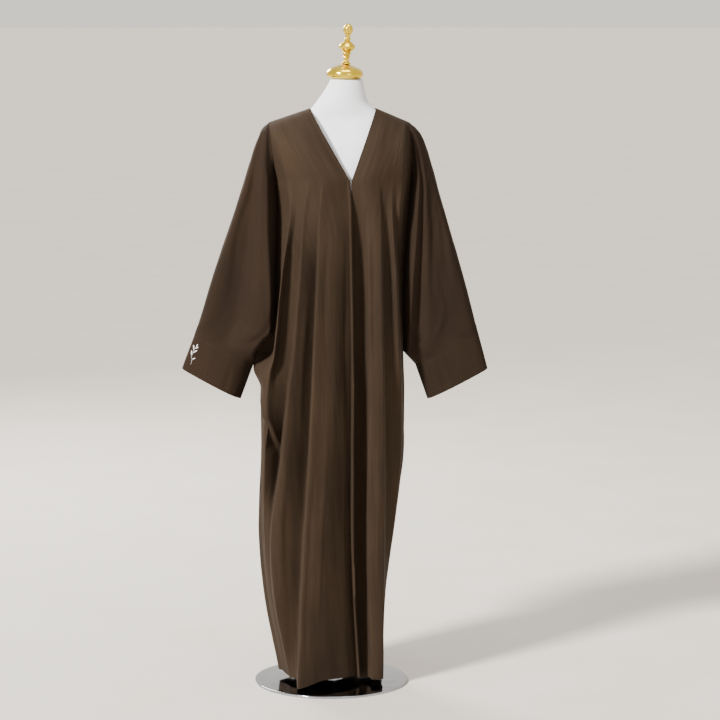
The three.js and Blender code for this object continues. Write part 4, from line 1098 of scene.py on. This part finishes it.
BROWN_CLOTH = ClothFinish("brown suede cloth", srgb(34, 25, 17), srgb(57, 44, 32), 0.8, 0.95,
                          0.0006, 0.08, 0.3, srgb(150, 132, 112))
# The sleeves' cloth is the body's cloth with darker colours and less sheen: painted shade on the
# sleeves.
SHADED_SLEEVE_CLOTH = ClothFinish("brown suede cloth, nap turned", srgb(28, 19, 12), srgb(44, 32, 22),
                           0.8, 0.95, 0.0006, 0.06, 0.3, srgb(150, 132, 112))
BROWN_THREAD = ClothFinish("brown thread", srgb(42, 31, 22), srgb(60, 46, 34), 0.5, 0.7,
                           0.0002, 0.15, 0.4, srgb(176, 158, 140))
SILVER_THREAD = MetalFinish("silver thread", srgb(150, 148, 143), srgb(186, 183, 177), 0.4, 0.55,
                            0.0002)
WHITE_JERSEY = JerseyFinish("white jersey cover", srgb(236, 237, 241), srgb(249, 250, 252), 0.7,
                            0.85, 0.0003)
GILT = MetalFinish("polished gilt", srgb(212, 176, 34), srgb(240, 212, 72), 0.08, 0.22, 0.0002)
POLISHED_STEEL = MetalFinish("polished steel", srgb(146, 149, 156), srgb(172, 175, 182), 0.05,
                             0.16, 0.0001)


# ------------------------------------------------------------------ the garment


@dataclass(frozen=True)
class PanelCut:
    """How a panel is cut: the solid that it stands for, and its flat size and area in metres."""

    node: str
    flat: tuple[float, float]
    area: float


CUTS = (
    PanelCut("front_right", (0.48, 1.47), 0.52),
    PanelCut("front_left", (0.26, 1.45), 0.31),
    PanelCut("back", (0.67, 1.45), 0.76),
    PanelCut("sleeve_right", (0.45, 0.60), 0.19),
    PanelCut("sleeve_left", (0.48, 0.60), 0.185),
    PanelCut("sleeve_end_right", (0.39, 0.093), 0.036),
    PanelCut("sleeve_end_left", (0.41, 0.091), 0.036),
)


class ClothPanel:
    """One cut piece of the garment, as a thin shell with its own cloth coordinates."""

    SMOOTH_ANGLE = 62           # degrees

    def __init__(self, cut: PanelCut, grids: list[ClothGrid]) -> None:
        """Takes how the panel is cut and the grids that make it."""
        self.cut = cut
        self.grids = grids

    def build(self, material: bpy.types.Material) -> bpy.types.Object:
        points, faces, coordinates = [], [], []
        for grid in self.grids:
            rows, columns = grid.points.shape[:2]
            base = len(points)
            across, down = grid.cloth_places()
            points += list(grid.points.reshape(-1, 3))
            way = -1 if grid.mirrored else 1
            coordinates += list(zip(way * across.ravel() * MM, down.ravel() * MM))
            for j in range(rows - 1):
                for i in range(columns - 1):
                    a = base + j * columns + i
                    quad = (a, a + columns, a + columns + 1, a + 1)
                    faces.append(quad[::-1] if grid.mirrored else quad)
        piece = new_piece(f"cloth_{self.cut.node}", points, faces)
        mesh = piece.data
        layer = mesh.uv_layers.new(name="cloth")
        corner_points = np.empty(len(mesh.loops), int)
        mesh.loops.foreach_get("vertex_index", corner_points)
        layer.data.foreach_set("uv", np.array(coordinates)[corner_points].ravel())
        with opened(piece):     # poles, closed tubes and the centre back share points
            bpy.ops.mesh.remove_doubles(threshold=MERGE_DISTANCE)
        apply_modifier(piece, "SOLIDIFY", thickness=CLOTH_THICKNESS * MM, offset=-1.0,
                       use_even_offset=False)
        shade_smooth(piece, self.SMOOTH_ANGLE)
        dress(piece, material)
        self.declare(piece)
        return piece

    def declare(self, piece: bpy.types.Object) -> None:
        """Hangs the panel on the root and hides the solid that it stands for."""
        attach(piece, "root")
        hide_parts(self.cut.node)


@dataclass
class Stitching:
    """A row of small stitches along a line on the cloth."""

    pitch: float = 4.2
    length: float = 2.9
    radius: float = 0.42
    proud: float = 0.3          # share of its radius that a stitch's middle stands off the cloth

    def run(self, name: str, lines: list[tuple[np.ndarray, np.ndarray]],
            material: bpy.types.Material) -> bpy.types.Object:
        """Sews along lines of points.

        Args:
            name: the piece's name.
            lines: pairs of points and outward normals along each line, in mm.
            material: the thread's material.

        Returns:
            All the stitches as one piece.
        """
        model, model_faces = ball(bpy.ops.mesh.primitive_uv_sphere_add, segments=6, ring_count=4)
        model = model * (self.length / 2, self.radius, self.radius)
        points, faces = [], []
        for line, normals in lines:
            steps = np.linalg.norm(np.diff(line, axis=0), axis=1)
            along = np.concatenate([[0], np.cumsum(steps)])
            for place in np.arange(self.pitch, along[-1] - self.pitch, self.pitch):
                k = int(np.searchsorted(along, place) - 1)
                share = (place - along[k]) / max(steps[k], TINY)
                middle = blend(line[k], line[k + 1], share)
                way = (line[k + 1] - line[k]) / max(steps[k], TINY)
                up = normals[k] - way * (normals[k] @ way)
                up /= max(np.linalg.norm(up), TINY)
                turn = np.stack([way, np.cross(up, way), up])
                base = len(points)
                points += list(model @ turn + middle + up * self.radius * self.proud)
                faces += [tuple(base + n for n in face) for face in model_faces]
        piece = new_piece(name, points, faces)
        piece.data.uv_layers.new(name="cloth")
        shade_smooth(piece, THREAD_SMOOTH_ANGLE)
        dress(piece, material)
        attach(piece, "root")
        return piece


class Abaya:
    """The open-front abaya: two fronts, a back, two sleeves and their ends, and its sewing."""

    EDGE_COLUMN = 4             # the grid column that a front's edge is stitched along
    SEAM_ROW, CUFF_ROW = 1, -3  # the grid rows that a sleeve end is stitched along

    def __init__(self) -> None:
        """Works out every panel's grid."""
        self.grids: dict[str, list[ClothGrid]] = {}
        for index, side in enumerate((RIGHT, LEFT)):
            front = BodyShape(side, side.front, -1).grid()
            back = BodyShape(side, side.back, 1).grid()
            sleeve, end = SleeveShape(side).grids(front, back)
            # Each patch: its smooth grid, and its sewn columns and rows.
            patches = {"front": (front, (-1,), (0,)), "back": (back, (0, -1), (0,)),
                       "sleeve": (sleeve, (0, -1), (0, -1)), "sleeve_end": (end, (0, -1), (0,))}
            for place, (part, (grid, columns, rows)) in enumerate(patches.items()):
                name = f"{part}_{side.name}"
                relief = Relief(grid, CREASES[name], 10.0 * index + 2 * place)
                patch = relief.shaped(columns, rows)
                self.grids.setdefault("back" if part == "back" else name, []).append(patch)

    def build(self) -> None:
        """Builds the panels, then sews their edges."""
        body, sleeve = BROWN_CLOTH.material(), SHADED_SLEEVE_CLOTH.material()
        for cut in CUTS:
            # The sleeves and their ends take the darker copy of the cloth, painted shade.
            cloth = sleeve if cut.node.startswith("sleeve") else body
            piece = ClothPanel(cut, self.grids[cut.node]).build(cloth)
            LOG.info("%s: %d points", piece.name, len(piece.data.vertices))
        self.sew(BROWN_THREAD.material())

    def line(self, name: str, patch: int, row: int | None = None,
             column: int | None = None) -> tuple[np.ndarray, np.ndarray]:
        """A row or a column of a panel's points, with its normals."""
        grid = self.grids[name][patch]
        where = (row, slice(None)) if column is None else (slice(None), column)
        return grid.points[where], grid.normals()[where]

    def sew(self, thread: bpy.types.Material) -> None:
        """Topstitches the openings, the hem, the sleeve-end seams and the cuffs."""
        hem_row = -1 - round(HEM_DEPTH / BodyShape.ROW_STEP)
        bodies = [("front_right", 0), ("front_left", 0), ("back", 0), ("back", 1)]
        lines = [self.line(name, patch, row=hem_row) for name, patch in bodies]
        lines += [self.line(name, 0, column=self.EDGE_COLUMN)
                  for name in ("front_right", "front_left")]
        for side in ("right", "left"):
            lines.append(self.line(f"sleeve_end_{side}", 0, row=self.SEAM_ROW))
            lines.append(self.line(f"sleeve_end_{side}", 0, row=self.CUFF_ROW))
        piece = Stitching().run("topstitching", lines, thread)
        LOG.info("%s: %d points", piece.name, len(piece.data.vertices))


class LeafSprig:
    """A small sprig of silver leaves, sewn on the right sleeve's outer corner."""

    FOOT_SHARE = 0.445          # where its foot stands, as a share of the sleeve end's columns
    FOOT_DOWN = 66.0            # and mm down from the sleeve end's seam
    STEM_POINTS = 30
    STEM_RADIUS = 0.6
    LEAF_HALF_WIDTH = 1.8
    LEAF_HALF_HEIGHT = 0.8
    PROUD = 0.4                 # share of its half height that a stretch's middle stands off
    RUN_ON = 0.4                # share of its length that a stretch of stem runs into the next
    LEAF_SPREAD, LEAF_RISE = 0.66, 0.75     # a side leaf's way, across and up
    # The stem's bends, (across, up) in mm from the foot, and the leaves: the stem point each
    # starts from, its way (-1, 0 or 1) and its length in mm.
    STEM = ((-4.0, -6.0), (0.0, 6.0), (2.6, 18.0), (2.4, 28.0), (0.4, 36.0))
    LEAVES = ((7, -1, 10.0), (12, 1, 13.0), (17, -1, 13.0), (22, 1, 12.0), (27, -1, 10.0),
              (29, 0, 10.0))

    def __init__(self, grid: ClothGrid) -> None:
        """Takes the sleeve end that the sprig is sewn on."""
        self.grid = grid
        self.normals = grid.normals()
        self.across, self.down = grid.cloth_places()
        column = int(self.across.shape[1] * self.FOOT_SHARE)
        self.foot = (self.across[0, column], self.FOOT_DOWN)

    def on_cloth(self, u: float, v: float) -> tuple[np.ndarray, np.ndarray]:
        """The point and normal of the cloth at a place beside and above the sprig's foot, in mm."""
        gap = np.hypot(self.across - self.foot[0] - u, self.down - self.foot[1] + v)
        j, i = np.unravel_index(int(np.argmin(gap)), gap.shape)
        rows, columns = slice(max(j - 1, 0), j + 2), slice(max(i - 1, 0), i + 2)
        share = 1 / (gap[rows, columns] + 0.3) ** 3
        point = np.tensordot(share / share.sum(), self.grid.points[rows, columns], 2)
        return point, self.normals[j, i]

    def stretches(self) -> list[tuple[np.ndarray, np.ndarray, float, float]]:
        """Each stretch of thread: its two ends on the cloth, its half width and half height."""
        knots = np.array(self.STEM)
        at = np.arange(len(knots), dtype=float)
        stem = smooth_through(at, knots, np.linspace(0, at[-1], self.STEM_POINTS))
        runs = [(a, b + (b - a) * self.RUN_ON, self.STEM_RADIUS, self.STEM_RADIUS)
                for a, b in zip(stem, stem[1:])]
        for start, way, length in self.LEAVES:
            rise = self.LEAF_RISE if way else 1.0
            tip = stem[start] + length * np.array([self.LEAF_SPREAD * way, rise])
            runs.append((stem[start], tip, self.LEAF_HALF_WIDTH, self.LEAF_HALF_HEIGHT))
        return runs

    def build(self, material: bpy.types.Material) -> bpy.types.Object:
        """Makes the sprig from small rounded stretches that run into each other."""
        model, model_faces = ball(bpy.ops.mesh.primitive_ico_sphere_add, subdivisions=3)
        points, faces = [], []
        for start, end, width, height in self.stretches():
            first, normal = self.on_cloth(*start)
            along = (self.on_cloth(*end)[0] - first) / 2
            across = np.cross(normal, along / np.linalg.norm(along)) * width
            base = len(points)
            turn = np.array([along, across, normal * height])
            points += list(first + along + normal * height * self.PROUD + model @ turn)
            faces += [tuple(base + n for n in face) for face in model_faces]
        piece = new_piece("leaf_sprig", points, faces)
        shade_smooth(piece, THREAD_SMOOTH_ANGLE)
        dress(piece, material)
        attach(piece, "root")
        return piece


# ------------------------------------------------------------------ the dress form


def turned(name: str, profile: list[tuple[float, float]], sides: int,
           solid: bool = True) -> bpy.types.Object:
    """A piece turned round the upright axis.

    Args:
        name: the piece's name.
        profile: (radius, height) corners in mm, from the bottom up.
        sides: how many sides it has.
        solid: whether its ends are filled. If not, the profile returns to its first corner.

    Returns:
        The new piece.
    """
    deselect_all()
    radius, height = profile[0]
    bpy.ops.mesh.primitive_circle_add(vertices=sides, radius=radius * MM,
                                      fill_type="NGON" if solid else "NOTHING",
                                      location=(0, 0, height * MM))
    piece = bpy.context.active_object
    piece.name = name
    with opened(piece):
        for (old_radius, old_height), (radius, height) in zip(profile, profile[1:]):
            rise = (0, 0, (height - old_height) * MM)
            bpy.ops.mesh.extrude_region_move(TRANSFORM_OT_translate={"value": rise})
            share = radius / old_radius
            bpy.ops.transform.resize(value=(share, share, 1), center_override=(0, 0, height * MM))
    bpy.ops.object.transform_apply(location=True, rotation=True, scale=True)
    clean_up(piece)
    return piece


def rounded(profile: list[tuple[float, float]], steps: int) -> list[tuple[float, float]]:
    """A profile with a smooth curve through its corners."""
    knots = np.array(profile, float)
    at = np.concatenate([[0], np.cumsum(np.linalg.norm(np.diff(knots, axis=0), axis=1))])
    where = np.linspace(0, at[-1], steps)
    return [(max(r, 0.3), z) for r, z in smooth_through(at, knots, where)]


@dataclass
class DressForm:
    """The limbless form on its pole, with its gilt cap and finial and its round steel foot."""

    foot_radius: float = 190.0
    neck_heights: tuple[float, float] = (1425.0, 1465.0)
    neck_shift: float = 5.0
    cap_shift: float = 2.5
    finial_lean: float = math.radians(2.2)
    foot_thickness: float = 6.0
    foot_edge: float = 1.5
    pole_radius: float = 14.0
    pole_foot: float = 6.6
    pole_top: float = 819.7
    socket_height: float = 48.0
    flange_radius: float = 32.0
    gap: float = 0.3
    cap_foot: float = 1499.3
    finial_foot: float = 1532.6
    bulb_sides: int = 12

    # Profiles, (radius, height above its foot) from the bottom up.
    CAP = ((37, 0), (41.8, 2), (44.6, 7), (44.6, 12), (42, 18), (35, 23.5), (24, 28), (14, 31.5),
           (8, 33))
    STEM = ((9.5, 0), (11.4, 1), (11.4, 3), (8.8, 5), (6.8, 7), (6.4, 12), (7, 15), (9, 17),
            (8.2, 19), (7, 20.5), (9, 23), (10.4, 24.5), (10.4, 27), (9, 29.5))
    BULB = ((9, 29.5), (14.5, 33.5), (20, 40), (20.6, 44), (16.5, 49), (11, 53), (7.5, 56))
    TOP = ((6.4, 55.5), (6.4, 57), (8.2, 60), (6.6, 63), (6, 66), (6.2, 69), (7.6, 72), (10.2, 76),
           (11.8, 81.5), (11.7, 86.5), (9.4, 92), (5.2, 96.4), (1.2, 98.4))

    def build(self) -> None:
        """Builds and dresses every piece of the form."""
        jersey, gilt, steel = WHITE_JERSEY.material(), GILT.material(), POLISHED_STEEL.material()
        self.finish(self.torso(), "form_torso", "form_cover", jersey, 70)
        self.finish(self.cap(), "neck_cap", "gilt", gilt, 40)
        self.finish(self.finial(), "finial", "gilt", gilt, 28)
        self.finish(self.pole(), "pole", "polished_steel", steel, 40)
        self.finish(self.socket(), "pole_socket", "polished_steel", steel, 40)
        self.finish(self.foot(), "base_plate", "polished_steel", steel, 40)

    @staticmethod
    def finish(piece: bpy.types.Object, node: str, slot: str, material: bpy.types.Material,
               angle: float) -> None:
        """Smooths and dresses one piece, hangs it on the root and hides the solid that it stands
        for.

        Args:
            piece: the piece.
            node: the solid that it stands for.
            slot: not used.
            material: its finish.
            angle: the sharpest edge in degrees that is shaded smooth.
        """
        shade_smooth(piece, angle)
        dress(piece, material)
        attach(piece, "root")
        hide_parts(node)
        LOG.info("%s: %d points", piece.name, len(piece.data.vertices))

    def torso(self) -> bpy.types.Object:
        """The form itself, rounded from a merged copy of its solid, with its neck set over."""
        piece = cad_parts["form_torso"].copy()
        piece.data = piece.data.copy()
        piece.parent = None
        for key in [key for key in piece.keys() if key.startswith("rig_")]:
            del piece[key]
        piece.name = "torso"
        bpy.context.scene.collection.objects.link(piece)
        clean_up(piece, MERGE_DISTANCE)
        with opened(piece):
            bpy.ops.mesh.tris_convert_to_quads(face_threshold=math.pi, shape_threshold=math.pi)
        apply_modifier(piece, "SUBSURF", levels=2, render_levels=2)
        low, high = self.neck_heights
        for vertex in piece.data.vertices:
            share = min(max((vertex.co.z / MM - low) / (high - low), 0), 1)
            vertex.co.x += self.neck_shift * share * share * (3 - 2 * share) * MM
        return piece

    def cap(self) -> bpy.types.Object:
        """The domed cap on the neck."""
        profile = rounded([(r, z + self.cap_foot) for r, z in self.CAP], 30)
        piece = turned("gilt_cap", profile, 64)
        piece.location.x = self.cap_shift * MM
        lean_with_form(piece)
        return piece

    def finial(self) -> bpy.types.Object:
        """The finial: a turned stem, a cut bulb and a small ball."""
        lower, middle, upper = ([(r, z + self.finial_foot) for r, z in part]
                                for part in (self.STEM, self.BULB, self.TOP))
        stem = turned("gilt_finial", rounded(lower, 40), 48)
        bulb = turned("bulb", middle, self.bulb_sides)
        self.cut_facets(bulb)
        top = turned("top", rounded(upper, 40), 48)
        piece = join([stem, bulb, top], "gilt_finial")
        foot = Matrix.Translation((0, 0, self.finial_foot * MM))
        tilt = foot @ Matrix.Rotation(self.finial_lean, 4, "Y") @ foot.inverted()
        shift = Matrix.Translation((self.cap_shift * MM, 0, 0))
        piece.matrix_world = shift @ tilt @ piece.matrix_world
        lean_with_form(piece)
        return piece

    def cut_facets(self, bulb: bpy.types.Object) -> None:
        """Turns every second ring of the bulb by half a side and splits its faces into facets."""
        half_side = math.pi / self.bulb_sides
        heights = sorted({round(v.co.z, 5) for v in bulb.data.vertices})
        for vertex in bulb.data.vertices:
            if heights.index(round(vertex.co.z, 5)) % 2:
                vertex.co = Matrix.Rotation(half_side, 3, "Z") @ vertex.co
        with opened(bulb):
            bpy.ops.mesh.quads_convert_to_tris(quad_method="SHORTEST_DIAGONAL")

    def pole(self) -> bpy.types.Object:
        """The straight pole."""
        piece = turned("steel_pole", [(self.pole_radius, self.pole_foot), (self.pole_radius, 400),
                                      (self.pole_radius, self.pole_top)], 48)
        lean_with_form(piece)
        return piece

    def socket(self) -> bpy.types.Object:
        """The flanged socket that holds the pole on the foot."""
        height, flange = self.socket_height, self.flange_radius
        bore = self.pole_radius + self.gap + height * math.tan(FORM_LEAN)
        foot = self.foot_thickness + self.gap
        profile = [(bore, foot), (flange, foot), (flange, foot + 4.5), (flange - 1, foot + 6),
                   (bore + 7, foot + 9), (bore + 5, foot + 13), (bore + 4, foot + height - 3),
                   (bore + 3, foot + height), (bore, foot + height), (bore, foot)]
        return turned("steel_socket", profile, 64, solid=False)

    def foot(self) -> bpy.types.Object:
        """The round polished plate, with its edges rounded over."""
        radius, edge, top = self.foot_radius, self.foot_edge, self.foot_thickness
        arc = [(1 - math.cos(t), math.sin(t)) for t in np.linspace(0, math.pi / 2, 5)]
        lower = [(radius - edge + edge * rise, edge * run) for run, rise in arc]
        upper = [(r, top - z) for r, z in reversed(lower)]
        return turned("steel_foot", lower + upper, 160)


# ------------------------------------------------------------------ the room, lights and camera


@dataclass
class Studio:
    """A pale floor and backdrop, soft lights, and the camera."""

    floor_colour: Colour = srgb(222, 213, 200)
    floor_tone: Colour = srgb(228, 220, 208)
    camera_place: tuple[float, float, float] = (0.072, -7.0, 1.81)
    camera_pitch: float = 81.85
    camera_lens: float = 143.7
    sensor_width: float = 36.0
    floor_radius: float = 60.0
    aim: tuple[float, float, float] = (0.05, 0, 1.0)
    sky_strength: float = 0.34
    seen_sky_strength: float = 1.3

    def build(self) -> None:
        """Builds the room, then its lights and camera."""
        self.floor()
        self.light("SUN", "key", (-3.1, -3.4, 3.8), 8.6, angle=math.radians(9))
        self.light("AREA", "fill", (2.4, -4.4, 2.2), 30, size=1.6)
        self.light("AREA", "top", (0.3, -0.6, 4.2), 60, size=1.6)
        self.light("AREA", "back", (-1.9, 3.4, 2.8), 210, size=1.4)
        self.sky()
        self.camera()

    def floor(self) -> None:
        """A wide pale floor."""
        deselect_all()
        bpy.ops.mesh.primitive_circle_add(vertices=128, radius=self.floor_radius,
                                          fill_type="NGON")
        floor = bpy.context.active_object
        floor.name = "floor"
        material = bpy.data.materials.new("pale floor")
        material.use_nodes = True
        principled = material.node_tree.nodes["Principled BSDF"]
        bench = NodeBench(material.node_tree)
        place = bench.add("ShaderNodeTexCoord").outputs["Object"]
        shade = bench.spread(bench.noise(place, (3, 3, 3), 4), 0.0, 1.0)
        pale = bench.mix(shade, self.floor_colour, self.floor_tone)
        bench.feed(pale, principled.inputs["Base Color"])
        principled.inputs["Roughness"].default_value = 0.7
        dress(floor, material)

    def light(self, kind: str, name: str, place: tuple[float, float, float], energy: float,
              **settings: float) -> None:
        """Adds a soft light that faces the garment's chest from a place."""
        data = bpy.data.lights.new(name, kind)
        data.energy = energy
        for setting, value in settings.items():
            setattr(data, setting, value)
        lamp = bpy.data.objects.new(name, data)
        lamp.location = place
        way = Vector(self.aim) - Vector(place)
        lamp.rotation_euler = way.to_track_quat("-Z", "Y").to_euler()
        bpy.context.scene.collection.objects.link(lamp)

    def sky(self) -> None:
        """An even pale light from all round, that looks brighter than it lights."""
        world = bpy.data.worlds.new("room")
        world.use_nodes = True
        background = world.node_tree.nodes["Background"]
        background.inputs["Color"].default_value = srgb(232, 222, 208)
        background.inputs["Strength"].default_value = self.sky_strength
        bench = NodeBench(world.node_tree)
        seen = bench.add("ShaderNodeBackground", Color=srgb(238, 232, 222),
                         Strength=self.seen_sky_strength)
        chooser = bench.add("ShaderNodeMixShader")
        ray = bench.add("ShaderNodeLightPath").outputs
        bright = bench.math("MAXIMUM", ray["Is Camera Ray"], ray["Is Glossy Ray"])
        bench.feed(bright, chooser.inputs[0])
        bench.feed(background.outputs[0], chooser.inputs[1])
        bench.feed(seen.outputs[0], chooser.inputs[2])
        bench.feed(chooser.outputs[0], world.node_tree.nodes["World Output"].inputs["Surface"])
        bpy.context.scene.world = world

    def camera(self) -> None:
        """The camera, at the height of the shoulders and far back."""
        data = bpy.data.cameras.new("camera")
        data.lens = self.camera_lens
        data.sensor_width = self.sensor_width
        camera = bpy.data.objects.new("camera", data)
        camera.location = self.camera_place
        camera.rotation_euler = (math.radians(self.camera_pitch), 0, 0)
        bpy.context.scene.collection.objects.link(camera)
        bpy.context.scene.camera = camera


def main() -> None:
    """Builds the garment, the form that it hangs on, and the room."""
    logging.basicConfig(level=logging.INFO, format="%(name)s: %(message)s")
    abaya = Abaya()
    abaya.build()
    sprig = LeafSprig(abaya.grids["sleeve_end_right"][0]).build(SILVER_THREAD.material())
    LOG.info("%s: %d points", sprig.name, len(sprig.data.vertices))
    DressForm().build()
    Studio().build()


if __name__ == "__main__":
    main()
